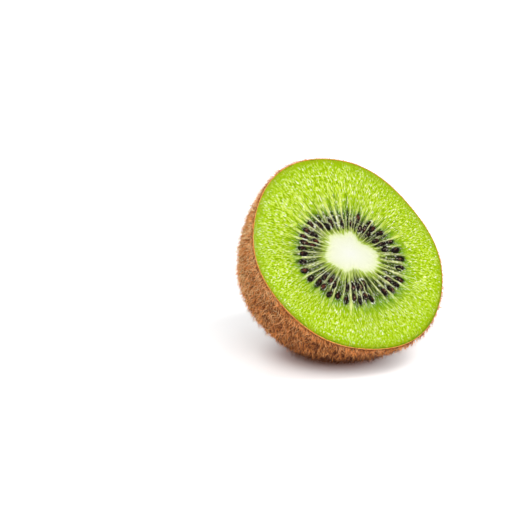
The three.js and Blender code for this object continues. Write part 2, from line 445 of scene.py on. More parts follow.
@dataclass(frozen=True)
class FruitSkin:
    """Thin dry fruit skin, brown over green and matt, with corky specks and the pits that fuzz grows from."""

    name: str = "dry_kiwi_skin"
    blotches: tuple[tuple[float, str], ...] = ((0.3, "#42200e"), (0.62, "#6e3c1a"))
    olive: str = "#40300f"
    fresh_cut: tuple[tuple[float, str], ...] = ((0.36, "#a06a2a"), (0.5, "#e8a050"), (0.62, "#d07034"))
    blotch_mm: float = 4.5
    speck_mm: float = 0.55
    speck_at: tuple[float, float] = (0.52, 0.66)

    def material(self) -> Material:
        """Mottled browns with olive-dark specks, and a fresher orange-brown line where the knife cut it.

        Returns:
            The material.
        """
        look = Look(self.name)
        place = look.place()
        specks = look.noise(place, self.speck_mm)
        mottled = look.ramp(look.noise(place, self.blotch_mm, 3.0, 0.6), self.blotches)
        speckled = look.mix(look.spread(specks, *self.speck_at), mottled, linear(self.olive))
        return look.finish({
            "Base Color": look.mix(look.attribute("edge"), speckled, look.ramp(specks, self.fresh_cut)),
            "Normal": look.bump(specks, 0.12, 0.8),
            "Roughness": 0.78,
            "Specular IOR Level": 0.3,
        })


@dataclass(frozen=True)
class HairShaft:
    """Dry plant hair: a matt brown shaft that turns paler towards its tip, partly its own colour and partly
    painted shade at the root and painted light at the tip.

    The map's first number is the hair's tone, from dark to pale, and the second is the share of its length.
    """

    name: str
    root: Sequence[str]
    tip: Sequence[str]
    turns_pale: tuple[float, float] = (0.05, 0.6)

    def material(self) -> Material:
        """Tone from dark to pale at the root and at the tip, mixed along the hair.

        Returns:
            The material.
        """
        look = Look(self.name)
        where = node(look.tree, "ShaderNodeUVMap", uv_map=BAKE_MAP).outputs["UV"]
        tone, along = node(look.tree, "ShaderNodeSeparateXYZ", {"Vector": where}).outputs[:2]
        root, tip = (
            look.ramp(tone, list(enumerate(tones)), len(tones) - 1) for tones in (self.root, self.tip)
        )
        # Dark at the root, pale at the tip: partly the hair's own colour, partly painted shade and painted
        # light.
        colour = look.mix(look.spread(along, *self.turns_pale), root, tip)
        return look.finish({"Base Color": colour, "Roughness": 0.6, "Specular IOR Level": 0.3})


@dataclass(frozen=True)
class DriedFlower:
    """Dried petals and styles: papery, dark brown and paler where they are worn thin."""

    name: str = "dried_kiwi_flower"
    browns: tuple[tuple[float, str], ...] = ((0.35, "#2a190f"), (0.72, "#6d4a2c"))
    streak_mm: float = 0.5

    def material(self) -> Material:
        """Dark brown with paler, worn streaks, quite matt.

        Returns:
            The material.
        """
        look = Look(self.name)
        worn = look.noise(look.place(), self.streak_mm, 4.0, 0.65)
        return look.finish({
            "Base Color": look.ramp(worn, self.browns),
            "Normal": look.bump(worn, 0.15, 0.8),
            "Roughness": 0.85,
            "Specular IOR Level": 0.25,
        })


@dataclass(frozen=True)
class StudioTable:
    """White satin acrylic: a plain pale ground that glows as painted light all round the fruit, with a soft
    shadow partly cast by the lamps and partly painted where the glow is dim and warm near the fruit.
    """

    name: str = "white_satin_with_painted_glow"
    colour: str = "#fbfbfb"
    haze_mm: float = 60.0
    satin: tuple[float, float] = (0.3, 0.36)

    # The painted glow by the distance from where the fruit rests, in millimetres: faint and warm near it as
    # painted shadow, then white.
    PAINTED_GLOW_AND_SHADOW = (
        (8.0, "#44210f"), (11.0, "#654a44"), (14.0, "#837876"),
        (19.0, "#9f9c9b"), (30.0, "#a6a6a6"), (130.0, "#b3b3b3"),
    )

    def material(self) -> Material:
        """One near-white colour with a very faint unevenness, and a painted glow that rises with the
        distance, dim and warm near the fruit as painted shadow.

        Returns:
            The material.
        """
        look = Look(self.name)
        place = look.place()
        reach_mm = self.PAINTED_GLOW_AND_SHADOW[-1][0]
        off = node(look.tree, "ShaderNodeVectorMath", {0: place}, operation="LENGTH").outputs["Value"]
        share = look.maths("DIVIDE", off, reach_mm * MM)
        return look.finish({
            "Base Color": linear(self.colour),
            "Roughness": look.spread(look.noise(place, self.haze_mm), 0.0, 1.0, *self.satin),
            # Painted light: the table glows, dim and warm near the fruit as painted shadow.
            "Emission Color": look.ramp(share, self.PAINTED_GLOW_AND_SHADOW, reach_mm),
            "Emission Strength": 1.0,
        })


# Meshes

class Tile(Enum):
    """A round field of a piece's map: its middle and its radius, with the map's side as 1."""

    MAIN = (0.5, 0.5, 0.49)
    CORNER_A = (0.07, 0.07, 0.062)
    CORNER_B = (0.93, 0.07, 0.062)


@dataclass(frozen=True)
class Band:
    """A run of rings that share a tile of the map, and where on the tile's radius it starts and ends."""

    rows: int
    tile: Tile
    start: float
    end: float


def put_mesh(
    name: str,
    places_mm: Array,
    faces: Sequence[Array],
    corners: Array | None = None,
    values: dict[str, Array] | None = None,
    sharp_degrees: float | None = None,
) -> Piece:
    """Makes a mesh object at the origin, with its place in its mesh.

    Args:
        name: the piece's name.
        places_mm: points in the model's frame, in millimetres, (n, 3).
        faces: arrays of faces, each (m, corners of a face), of point numbers.
        corners: a map place for each face corner, in the order of the faces, (k, 2).
        values: a number or a vector for each point, by attribute name.
        sharp_degrees: edges that turn more than this are shown sharp.

    Returns:
        The object, linked to the scene.
    """
    mesh = bpy.data.meshes.new(name)
    mesh.vertices.add(len(places_mm))
    mesh.vertices.foreach_set("co", (places_mm * MM).astype(np.float32).ravel())
    sides = np.concatenate([np.full(len(part), part.shape[1]) for part in faces])
    points = np.concatenate([part.ravel() for part in faces]).astype(np.int32)
    mesh.loops.add(len(points))
    mesh.loops.foreach_set("vertex_index", points)
    mesh.polygons.add(len(sides))
    starts = np.concatenate([[0], np.cumsum(sides)[:-1]])
    mesh.polygons.foreach_set("loop_start", starts.astype(np.int32))
    mesh.polygons.foreach_set("use_smooth", np.ones(len(sides), dtype=bool))
    mesh.update(calc_edges=True)
    if corners is not None:
        layer = mesh.uv_layers.new(name=BAKE_MAP)
        layer.data.foreach_set("uv", corners.astype(np.float32).ravel())
    for key, value in (values or {}).items():
        kind, field_name = ("FLOAT", "value") if value.ndim == 1 else ("FLOAT_VECTOR", "vector")
        mesh.attributes.new(key, kind, "POINT").data.foreach_set(field_name, value.astype(np.float32).ravel())
    if sharp_degrees is not None:
        mesh.set_sharp_from_angle(angle=np.radians(sharp_degrees))
    mesh.validate()
    piece = bpy.data.objects.new(name, mesh)
    bpy.context.scene.collection.objects.link(piece)
    return piece


def tube_faces(rows: int, columns: int) -> tuple[Array, Array]:
    """Faces of a tube of rings that a point closes at each end.

    Args:
        rows: how many rings, whose points are numbered ring by ring; the two end points come after them.
        columns: points to a ring.

    Returns:
        The quads, whose first side is the lower ring, and the two fans of triangles, the first ring's first.
    """
    number = np.arange(rows * columns).reshape(rows, columns)
    after = np.roll(number, -1, axis=1)
    first, last = (np.full(columns, rows * columns + end) for end in (0, 1))
    quads = np.stack([number[:-1], after[:-1], after[1:], number[1:]], axis=-1).reshape(-1, 4)
    fans = [np.stack([first, after[0], number[0]], axis=-1), np.stack([number[-1], after[-1], last], axis=-1)]
    return quads, np.concatenate(fans)


def repeated(faces: Array, points: int, count: int) -> Array:
    """The same faces for each of a number of alike bodies, whose points follow one another."""
    return (faces[None] + np.arange(count)[:, None, None] * points).reshape(-1, faces.shape[1])


def on_tile(tile: Tile, share: Array | float, angle: Array) -> Array:
    """Points of a tile of the map.

    Args:
        tile: the tile.
        share: how far out they are, as a share of its radius.
        angle: their angle.

    Returns:
        Map places, (..., 2).
    """
    middle_x, middle_y, radius = tile.value
    across, up = radius * share * np.cos(angle), radius * share * np.sin(angle)
    return np.stack([middle_x + across, middle_y + up], axis=-1)


def turned_map(bands: Sequence[Band], columns: int) -> Array:
    """The map's place of each corner of a tube's faces, in the order of the faces.

    Args:
        bands: how the strips between the rings lie on the map; the two fans join the end bands.
        columns: points to a ring.

    Returns:
        Map places, (corners, 2).
    """
    turn = even_turns(columns)
    turn_after = turn + FULL_TURN / columns
    parts = []
    for band in bands:
        steps = np.linspace(band.start, band.end, band.rows + 1)[:, None]
        sides = ((steps[:-1], turn), (steps[:-1], turn_after), (steps[1:], turn_after), (steps[1:], turn))
        parts.append(np.stack([on_tile(band.tile, *side) for side in sides], axis=2))
    opening, closing = bands[0], bands[-1]
    for tile, sides in (
        (opening.tile, ((0 * turn, turn), (opening.start, turn_after), (opening.start, turn))),
        (closing.tile, ((closing.end, turn), (closing.end, turn_after), (0 * turn, turn))),
    ):
        parts.append(np.stack([on_tile(tile, *side) for side in sides], axis=1))
    return np.concatenate([part.reshape(-1, 2) for part in parts])


def turned_mesh(
    name: str,
    rings: Array,
    poles: Array,
    bands: Sequence[Band],
    values: dict[str, tuple[Array, Array]] | None = None,
    sharp_degrees: float | None = None,
) -> Piece:
    """Makes a closed surface from rings round the fruit's axis, closed by a point at each end.

    Args:
        name: the piece's name.
        rings: points in the model's frame, in millimetres, (rows, columns, 3), each ring anticlockwise.
        poles: the first and the last point, (2, 3).
        bands: how the strips between the rings lie on the map.
        values: for each attribute, its values on the rings and at the two poles.
        sharp_degrees: edges that turn more than this are shown sharp.

    Returns:
        The object.
    """
    flat = {
        key: np.concatenate([on_rings.reshape(-1, *on_rings.shape[2:]), at_poles])
        for key, (on_rings, at_poles) in (values or {}).items()
    }
    places = np.concatenate([rings.reshape(-1, 3), poles])
    corners = turned_map(bands, rings.shape[1])
    return put_mesh(name, places, tube_faces(*rings.shape[:2]), corners, flat, sharp_degrees)


# The fruit's form

@dataclass(frozen=True)
class Wave:
    """A wave round an outline: its number of lobes, its share of the radius, and the degrees of one lobe."""

    lobes: int
    share: float
    at: float


def lobed(radius: float, waves: Sequence[Wave], angle: Array) -> Array:
    """A mean radius times one plus the sum of the waves, each a cosine of the angle from its lobe."""
    swing = sum(wave.share * np.cos(wave.lobes * (angle - np.radians(wave.at))) for wave in waves)
    return radius * (1 + swing)


@dataclass(frozen=True)
class FruitForm:
    """The uneven form that all the pieces share, by the same rules and sizes as the solids, in millimetres.

    A point is given by its radius and angle in a perfectly round fruit and by its height over the cut.
    """

    skin_radius: float = 25.0
    half_length: float = 34.6
    axis_lean: float = np.radians(53.9)
    rest_flattening: float = 0.6
    seed_zone_radius: float = 15.0
    seed_zone_depth: float = 28.0
    core_radius: float = 5.9
    core_depth: float = 25.0
    core_bluntness: float = 2.8
    flesh_swell: float = 0.35
    seed_zone_sink: float = 0.3
    core_swell: float = 0.3
    chambers: int = 40
    wall_ridge: float = 0.2
    wall_fade_radius: float = 19.0
    wall_wander: float = 0.035
    dimple_depth: float = 1.1
    dimple_radius: float = 5.0
    least_shrink: float = 0.01
    fuzz_depth: float = 0.55
    fuzz_starts: tuple[float, float] = (0.0, 2.5)
    fuzz_ends: tuple[float, float] = (33.2, 31.6)
    core_waves: tuple[Wave, ...] = (
        Wave(1, 0.083, 13), Wave(2, 0.184, -22), Wave(3, 0.116, -30),
        Wave(4, 0.061, -28), Wave(5, 0.038, -23), Wave(6, 0.054, 4),
    )
    seed_zone_waves: tuple[Wave, ...] = (Wave(1, 0.1, -90), Wave(2, 0.076, -27), Wave(3, 0.022, -33))
    skin_waves: tuple[Wave, ...] = (Wave(2, 0.046, -55.4), Wave(3, 0.0131, -39.8), Wave(6, 0.007, -3.9))

    def uneven_radius(self, round_radius: Array, angle: Array) -> Array:
        """Turns a radius in the round fruit into the one in the real cut.

        Args:
            round_radius: the radius in the round fruit.
            angle: the real angle.

        Returns:
            The radius, straight between the middle and the outlines of the core, the seed zone and the skin.
        """
        core = lobed(self.core_radius, self.core_waves, angle)
        zone = lobed(self.seed_zone_radius, self.seed_zone_waves, angle)
        skin = lobed(self.skin_radius, self.skin_waves, angle)
        to_zone = (round_radius - self.core_radius) / (self.seed_zone_radius - self.core_radius)
        to_skin = (round_radius - self.seed_zone_radius) / (self.skin_radius - self.seed_zone_radius)
        in_core, in_zone = round_radius <= self.core_radius, round_radius <= self.seed_zone_radius
        outside_core = np.where(in_zone, blend(core, zone, to_zone), blend(zone, skin, to_skin))
        return np.where(in_core, round_radius / self.core_radius * core, outside_core)

    def wander(self, turned: Array) -> Array:
        """The real angle: the walls wander to either side on their way round, by two sines of the angle."""
        return turned + self.wall_wander * (np.sin(3 * turned + 1) + 0.6 * np.sin(7 * turned + 2))

    def dimple(self, round_radius: Array, depth: Array) -> Array:
        """How far the blossom end is pushed in: a bell round the axis, in the half that ends there."""
        near = smoothstep(self.half_length / 2, self.half_length, depth)
        return self.dimple_depth * bell(round_radius, self.dimple_radius) * near

    def layer(self, radius: float, depth: float, turns: Array, columns: int, bluntness: float = 2.0) -> Array:
        """Rings of one layer's outside: a quarter oval turned round the axis, in the real fruit's outline.

        Args:
            radius: the layer's radius at the cut, in the round fruit.
            depth: how far below the cut it ends.
            turns: angles along the quarter oval, near 90 degrees at its end and 0 at the cut.
            columns: points to a ring.
            bluntness: 2 gives an oval, and more a blunter end.

        Returns:
            The rings, (turns, columns, 3). Their outline shrinks with the depth as the whole fruit does.
        """
        power = 2 / bluntness
        out, height = radius * np.cos(turns[:, None]) ** power, -depth * np.sin(turns[:, None]) ** power
        angle = self.wander(even_turns(columns)[None, :])
        shrink = np.sqrt(np.maximum(1 - (height / self.half_length) ** 2, self.least_shrink))
        real = shrink * self.uneven_radius(out / shrink, angle)
        lifted = height + self.dimple(out, -height)
        return np.stack([real * np.cos(angle), real * np.sin(angle), lifted + 0 * real], axis=-1)

    def outwards(self, places: Array) -> Array:
        """The outward normals of the round fruit's oval at these places."""
        return unit(places / np.array([self.skin_radius, self.skin_radius, self.half_length]) ** 2)

    def under_fuzz(self, rings: Array, further: float = 0.0) -> Array:
        """Rings of the outside moved inwards by the fuzz's depth, but not at the cut or at the blossom end.

        The solid's outline is where the fuzz ends, so the skin itself lies a little deeper.

        Args:
            rings: points of the outside, (..., 3).
            further: how much further in they go, in millimetres.

        Returns:
            The points.
        """
        depth = -rings[..., 2]
        full = smoothstep(*self.fuzz_starts, depth) * smoothstep(*self.fuzz_ends, depth)
        return rings - self.outwards(rings) * ((self.fuzz_depth + further) * full)[..., None]

    def up(self) -> Array:
        """The direction that is up when the fruit lies."""
        return np.array([0, np.sin(self.axis_lean), np.cos(self.axis_lean)])

    def ground(self) -> float:
        """Where the ground is.

        Returns:
            Its height along up: the lowest point of the whole half, and what its weight flattens.
        """
        rows, sides = 45, 192
        whole = self.layer(self.skin_radius, self.half_length, quarter_turns(rows), sides)
        return float((whole @ self.up()).min()) + self.rest_flattening


class Lie:
    """How the half lies: points of the fruit's own frame leant back and set on the ground, in millimetres."""

    def __init__(self, form: FruitForm, skin_box: tuple[Vector, Vector]) -> None:
        """Finds where the ground is and centres the half over the middle of its solid's box.

        Args:
            form: the fruit's form.
            skin_box: the lowest and highest corner of the skin's solid, in metres.
        """
        lean = form.axis_lean
        self.turn = np.array([[1, 0, 0], [0, np.cos(lean), -np.sin(lean)], [0, np.sin(lean), np.cos(lean)]])
        rows, sides = 15, 64
        outside = form.layer(form.skin_radius, form.half_length, quarter_turns(rows), sides) @ self.turn.T
        own = (outside.min(axis=(0, 1)) + outside.max(axis=(0, 1))) / 2
        solid = (np.array(skin_box[0]) + np.array(skin_box[1])) / 2 / MM
        self.shift = np.array([*(solid - own)[:2], -form.ground()])

    def stand(self, places: Array, level: float = 0.0) -> Array:
        """Puts points in the model's frame, with the half's weight flattening what lies lowest.

        Args:
            places: points in the fruit's own frame, (..., 3).
            level: the height that none of them is under.

        Returns:
            The points, (..., 3), in millimetres.
        """
        stood = places @ self.turn.T + self.shift
        stood[..., 2] = np.maximum(stood[..., 2], level)
        return stood

    def direction(self, vectors: Array) -> Array:
        """Directions in the model's frame."""
        return vectors @ self.turn.T


# The seeds' layout

@dataclass(frozen=True)
class SeedRow:
    """A row of seeds round the core: its radius, the share of chambers that hold one, and its end angles."""

    radius: float
    share: float
    start: float
    end: float


def random_draws(start: int) -> Iterator[float]:
    """A steady source of draws between 0 and 1: each state is the last times 48271, modulo 2³¹ - 1.

    Args:
        start: the first state.

    Returns:
        The draws, without an end.
    """
    factor, modulus = 48271, 2147483647
    state = start
    while True:
        state = state * factor % modulus
        yield state / modulus


@dataclass(frozen=True)
class SeedLayout:
    """Where the seeds lie in the cut face, by the same rule and draws as in the solid."""

    form: FruitForm
    length: float = 2.3
    length_limits: tuple[float, float] = (0.88, 1.1)
    width: float = 1.3
    width_limits: tuple[float, float] = (0.88, 1.08)
    level: float = -0.22
    turn: float = 0.25
    scatter: float = 0.6
    scatter_round: float = 120.0
    random_start: int = 73716
    rows: tuple[SeedRow, ...] = (SeedRow(9.3, 0.62, -180, 180), SeedRow(12.0, 0.84, -235, 62))

    def table(self) -> Array:
        """Draws the seeds row by row, with one or none to a chamber.

        Returns:
            One line for each seed: x, y, heading, half length and radius, in millimetres and radians.
        """
        form, chambers = self.form, self.form.chambers
        draw = random_draws(self.random_start)
        seeds = []
        for row in self.rows:
            for chamber in range(chambers):
                middle = row.start + (chamber + 0.5) * 360 / chambers
                filled, along, aside, turn, longer, wider = (next(draw) for _ in range(6))
                if filled > row.share or middle > row.end:
                    continue
                angle = float(form.wander(np.radians(middle + (aside - 0.5) * self.scatter_round / chambers)))
                round_out = np.array(row.radius + self.scatter * (2 * along - 1))
                out = float(form.uneven_radius(round_out, angle))
                heading = angle + self.turn * (2 * turn - 1)
                half = self.length * blend(*self.length_limits, longer) / 2
                radius = self.width * blend(*self.width_limits, wider) / 2
                seeds.append((out * np.cos(angle), out * np.sin(angle), heading, half, radius))
        return np.array(seeds)


# The cut face

@dataclass(frozen=True)
class Spokes:
    """A set of spokes round the core: how many, how far off their even places, and the limits of their sizes.

    Widths are in millimetres, and starts and reaches are radii of the round fruit. Some reach further.
    The two widenings are shares of the width, at the inside and at the outside of the seed zone.
    """

    seed: int
    count: int
    offset: float
    jitter: float
    strength: tuple[float, float]
    width: tuple[float, float]
    start: tuple[float, float]
    reach: tuple[float, float]
    further: float
    widening: tuple[float, float]

    LONGER_ABOVE = 1.8
    SHORT_SHARE = 0.85
    FURTHER_SHARES = (0.5, 1.0)
    BEND = 0.008
    BEND_RATES = (0.3, 1.1)
    WIDENS = (6, 15)
    STEEPNESS = (0.15, 0.8)
    FADE_IN = (-0.5, 0.7)
    FADE_OUT = (-3.5, 1.0)

    def shown(self, radius: Array, turned: Array, real: Array) -> Array:
        """How much of the spokes is at each point.

        Args:
            radius: radius in the round fruit.
            turned: angle in the round fruit.
            real: radius in the uneven fruit.

        Returns:
            The strongest of them all. Each is a steep bell across, bends a little by a sine of the radius,
            fades in at its own start and out at its own reach, and those above the core reach furthest.
        """
        rng = np.random.default_rng(self.seed)
        count = self.count
        place = (np.arange(count) + self.offset + rng.normal(0, self.jitter, count)) / count * FULL_TURN
        strength, width, start, reach = (
            rng.uniform(*limits, count) for limits in (self.strength, self.width, self.start, self.reach)
        )
        long = rng.random(count) > self.SHORT_SHARE
        reach = reach + np.where(long, rng.uniform(*self.FURTHER_SHARES, count) * self.further, 0)
        reach = reach + self.LONGER_ABOVE * np.sin(place)
        phase, rate = rng.uniform(0, FULL_TURN, count), rng.uniform(*self.BEND_RATES, count)
        widening = blend(*self.widening, smoothstep(*self.WIDENS, radius))
        strongest = np.zeros(radius.shape)
        for spoke in range(count):
            bend = self.BEND * np.sin(rate[spoke] * radius + phase[spoke])
            off = (turned - place[spoke] - bend + np.pi) % FULL_TURN - np.pi
            across = smoothstep(*self.STEEPNESS, bell(off * real, width[spoke] * widening))
            begun = smoothstep(*self.FADE_IN, radius - start[spoke])
            ended = smoothstep(*self.FADE_OUT, radius - reach[spoke])
            strongest = np.maximum(strongest, strength[spoke] * across * begun * (1 - ended))
        return strongest


WALLS = Spokes(
    seed=5, count=40, offset=0.0, jitter=0.12, strength=(0.65, 1.0), width=(0.12, 0.22),
    start=(5.7, 6.4), reach=(14.0, 17.5), further=3.0, widening=(0.6, 1.9),
)
FINE_RAYS = Spokes(
    seed=6, count=56, offset=0.5, jitter=0.5, strength=(0.35, 0.9), width=(0.09, 0.15),
    start=(5.8, 7.5), reach=(11.5, 16.0), further=3.0, widening=(0.7, 1.5),
)
CHAMBER_CLEFTS = Spokes(
    seed=7, count=40, offset=0.5, jitter=0.2, strength=(0.8, 1.0), width=(0.22, 0.42),
    start=(6.1, 7.4), reach=(12.5, 14.6), further=0.6, widening=(0.95, 0.6),
)
FINE_CLEFTS = Spokes(
    seed=8, count=80, offset=0.5, jitter=0.5, strength=(0.7, 1.0), width=(0.1, 0.17),
    start=(6.0, 9.0), reach=(12.0, 14.6), further=0.5, widening=(0.9, 1.1),
)
GREEN_GAPS = Spokes(
    seed=11, count=52, offset=0.5, jitter=0.4, strength=(0.5, 0.95), width=(0.3, 0.56),
    start=(10.5, 13.0), reach=(14.0, 17.5), further=1.0, widening=(1.0, 1.0),
)


def heading_axes(heading: float) -> Array:
    """The unit vectors along a heading and to its left, as the columns of a 2 by 2 array."""
    return np.array([[np.cos(heading), -np.sin(heading)], [np.sin(heading), np.cos(heading)]])


@dataclass
class CutFace:
    """The cut face: its height and its patterns, at any radius and angle of the round fruit.

    Lengths are in millimetres. A pair of radii or of shares is where a change starts and where it is full.
    """

    form: FruitForm
    seeds: Array
    seed_level: float
    grain_radius: float = 17.0
    long_until: float = 13.0
    round_from: float = 22.0
    long_slope: float = 0.5
    round_slope: float = 1.05
    zone_begins: tuple[float, float] = (6.1, 7.2)
    zone_ends: tuple[float, float] = (13.0, 15.5)
    flesh_begins: tuple[float, float] = (13.0, 16.0)
    rim_calms: tuple[float, float] = (23.4, 24.9)
    cleft_ends: tuple[float, float] = (14.0, 16.0)
    ragged: tuple[float, float] = (1.6, 0.35)
    ragged_begins: tuple[float, float] = (4.0, 6.5)
    ragged_calms: tuple[float, float] = (15.0, 23.0)
    net_thins: tuple[float, float] = (20.5, 23.5)
    # Where white flecks are painted as glints in the seed ring, as radii of the round fruit.
    glint_flecks_begin: tuple[float, float] = (7.0, 8.5)
    glint_flecks_end: tuple[float, float] = (12.0, 15.0)
    outer_band: tuple[float, float] = (23.0, 24.4)
    deep_seeds: int = 85
    deep_radii: tuple[float, float] = (8.0, 13.2)
    deep_half_lengths: tuple[float, float] = (0.9, 1.4)
    deep_half_widths: tuple[float, float] = (0.35, 0.6)
    cell_size: tuple[float, float, float] = (0.62, 0.62, 0.85)
    cell_relief: float = 0.07
    fibre_relief: float = 0.06
    ray_relief: float = 0.12
    cleft_relief: float = 0.16
    crumb_relief: float = 0.12
    meniscus: float = 0.2
    covered_share: float = 0.4
    seed_reach: float = 2.6
    seed_flatness: float = 0.86
    hollow_under_seed: float = 0.15
    film_over_seed: float = 0.05

    # Where pulp covers a seed: on the side that it comes from, or where a ray runs over it.
    COVERED_SIDE = (0.25, 0.6)
    COVERING_RAY = (0.75, 0.92)

    # Places and widths in shares of a seed's oval: the raised rim, the pulp's edge, what counts as near for
    # the painted shade round a seed, and the ring of pale film, partly a painted glint, with the side that it
    # is on.
    RIM = (1.08, 0.24)
    PULP_EDGE = (1.0, 0.7)
    NEAR = (0.9, 0.38)
    RING = (1.15, 0.22)
    RING_SIDE = (0.3, 1.0)

    # The noises of the face, each with its scales on the grain and its seed, and how the cells are bent.
    STREAKS = ((2.3, 2.3, 0.55), 51)
    FIBRES = ((4.0, 4.0, 1.5), 53)
    CRUMBS = ((3.0, 3.0, 3.0), 54)
    BENT = 0.3

    def grain(self, radius: Array, turned: Array) -> Array:
        """A vector that runs round a cylinder with the angle and along it with the radius, with no seam.

        Its last number rises more slowly with the radius near the seeds, so that the pattern is longer there.

        Args:
            radius: radius in the round fruit.
            turned: angle in the round fruit.

        Returns:
            The vector, (..., 3). Along it, the slope goes from the long to the round one by 3t² - 2t³.
        """
        span = self.round_from - self.long_until
        share = np.clip((radius - self.long_until) / span, 0, 1)
        risen = span * (share**3 - share**4 / 2) + np.maximum(radius - self.round_from, 0)
        along = self.long_slope * radius + (self.round_slope - self.long_slope) * risen
        across, up = (self.grain_radius * wave(turned) for wave in (np.cos, np.sin))
        return np.stack([across, up, along + 0 * turned], axis=-1)

    def deep(self, places: Array) -> Array:
        """How dark seeds show that lie just under the pulp.

        Args:
            places: x and y in the face, (..., 2).

        Returns:
            The strongest of soft ovals in the chambers, each of its own depth.
        """
        form = self.form
        rng = np.random.default_rng(8)
        shown = np.zeros(places.shape[:-1])
        for _ in range(self.deep_seeds):
            chamber = (rng.integers(form.chambers) + 0.5) / form.chambers * FULL_TURN
            angle = float(form.wander(chamber + rng.normal(0, 0.02)))
            out = float(form.uneven_radius(np.array(rng.uniform(*self.deep_radii)), angle))
            axes = heading_axes(angle)
            away = (places - out * axes[:, 0]) @ axes
            along = away[..., 0] / rng.uniform(*self.deep_half_lengths)
            aside = away[..., 1] / rng.uniform(*self.deep_half_widths)
            soft_oval = np.exp(-(np.hypot(along, aside) ** 4))
            shown = np.maximum(shown, rng.uniform(0.6, 1.0) * soft_oval)
        return shown

    def solid_height(self, radius: Array, walls: Array) -> Array:
        """The height as the solid has it: a domed core, a sunk seed zone with ridged walls, swollen flesh.

        Args:
            radius: radius in the round fruit.
            walls: how much of a wall is at each point.

        Returns:
            The height over the cut.
        """
        form = self.form
        ridge = form.wall_ridge * (2 * walls - 1)
        core = form.core_swell * (1 - (radius / form.core_radius) ** 2)
        limits = ((form.core_radius, form.seed_zone_radius), (form.seed_zone_radius, form.skin_radius))
        over_zone, over_flesh = (
            np.sin(np.pi * np.clip((radius - inner) / (outer - inner), 0, 1)) for inner, outer in limits
        )
        fade = 1 - smoothstep(form.seed_zone_radius, form.wall_fade_radius, radius)
        zone = over_zone * (ridge - form.seed_zone_sink)
        flesh = over_flesh * (form.flesh_swell + fade * ridge)
        outside_core = np.where(radius <= form.seed_zone_radius, zone, flesh)
        return np.where(radius <= form.core_radius, core, outside_core)

    def pulp_round_seeds(self, places: Array, height: Array, rays: Array) -> tuple[Array, Array, Array]:
        """Raises the pulp round each seed and over a side of some, and lowers it under the rest of a seed.

        Args:
            places: x and y in the face, (..., 2).
            height: the height before, (...).
            rays: how much of a ray is at each point, because rays run on over the seeds.

        Returns:
            The height, with a rim that is a bell of the distance from a seed's oval outline; how near a
            point is to a seed, which is painted as shade round it; and how much of a pale film of pulp,
            partly a painted glint, is on it.
        """
        raised = height.copy()
        seed_shade, film_and_glint_shown = np.zeros((2, *height.shape))
        floor = self.seed_level - self.hollow_under_seed
        (rim_at, rim_width), (near, near_width), (ring_at, ring_width) = self.RIM, self.NEAR, self.RING
        rng = np.random.default_rng(9)
        for x, y, heading, half, radius in self.seeds:
            away = places - np.array([x, y])
            close = np.abs(away).max(axis=-1) < self.seed_reach
            share = away[close] @ heading_axes(heading) / np.array([half, radius])
            oval = np.hypot(share[:, 0], share[:, 1])
            covered = rng.random() < self.covered_share
            side = rng.uniform(-np.pi, np.pi)
            towards = share[:, 0] * np.cos(side) + share[:, 1] * np.sin(side)
            on_side = smoothstep(*self.COVERED_SIDE, towards) * covered
            film = np.maximum(on_side, smoothstep(*self.COVERING_RAY, rays[close]))
            rim = self.meniscus * bell(oval - rim_at, rim_width)
            seed_top = self.seed_level + radius * self.seed_flatness * np.sqrt(np.clip(1 - oval**2, 0, 1))
            pulp = blend(floor, seed_top + self.film_over_seed, film)
            raised[close] = blend(raised[close] + rim, pulp, smoothstep(*self.PULP_EDGE, oval))
            seed_shade[close] = np.maximum(seed_shade[close], bell(np.maximum(oval - near, 0), near_width))
            shown = smoothstep(*self.RING_SIDE, towards) * rng.uniform(0.0, 1.0)
            film_and_glint_shown[close] = np.maximum(film_and_glint_shown[close], bell(oval - ring_at, ring_width) * shown)
        return raised, seed_shade, film_and_glint_shown

    def surface(self, radius: Array, turned: Array) -> tuple[Array, dict[str, Array]]:
        """Points of the face and its patterns.

        Args:
            radius: radius in the round fruit, (rows, 1).
            turned: angle in the round fruit, (1, columns).

        Returns:
            Points in the fruit's own frame, (rows, columns, 3), and for each attribute its values.
        """
        form = self.form
        radius, turned = np.broadcast_arrays(radius, turned)
        angle = form.wander(turned)
        real = form.uneven_radius(radius, angle)
        places = np.stack([real * np.cos(angle), real * np.sin(angle)], axis=-1)
        grain = self.grain(radius, turned)
        streaks, fibres, crumbs = (
            layered_noise(grain * np.array(scale), 2, seed)
            for scale, seed in (self.STREAKS, self.FIBRES, self.CRUMBS)
        )
        walls, fine_rays, chamber_clefts, fine_clefts, gaps = (
            spokes.shown(radius, turned, real)
            for spokes in (WALLS, FINE_RAYS, CHAMBER_CLEFTS, FINE_CLEFTS, GREEN_GAPS)
        )
        rays, clefts = np.maximum(walls, fine_rays), np.maximum(chamber_clefts, fine_clefts)

        in_zone = smoothstep(*self.zone_begins, radius) * (1 - smoothstep(*self.zone_ends, radius))
        in_flesh = smoothstep(*self.flesh_begins, radius)
        calm_rim = 1 - smoothstep(*self.rim_calms, radius)
        high_side = 0.5 + 0.5 * np.sin(angle)
        # The lower side of the face, painted in shade: the rim's dark band reaches further in there, and
        # fewer pale grains and glints are painted.
        shaded_low_side = smoothstep(0.1, -0.8, np.sin(angle))
        bent = self.BENT * np.stack([noise(grain * 0.9, seed) for seed in (31, 32, 33)], axis=-1)
        pillow = smoothstep(0.7, 0.05, nearest_centre(grain / np.array(self.cell_size) + bent, 41))

        height = self.solid_height(radius, walls)
        height = height + self.cell_relief * (in_flesh * calm_rim + 0.3 * in_zone) * (pillow - 0.4)
        height = height + self.fibre_relief * (in_zone + 0.4 * in_flesh * calm_rim) * fibres
        folds = self.ray_relief * rays - self.cleft_relief * clefts + self.crumb_relief * crumbs
        height, seed_shade, film = self.pulp_round_seeds(places, height + folds * in_zone, rays)

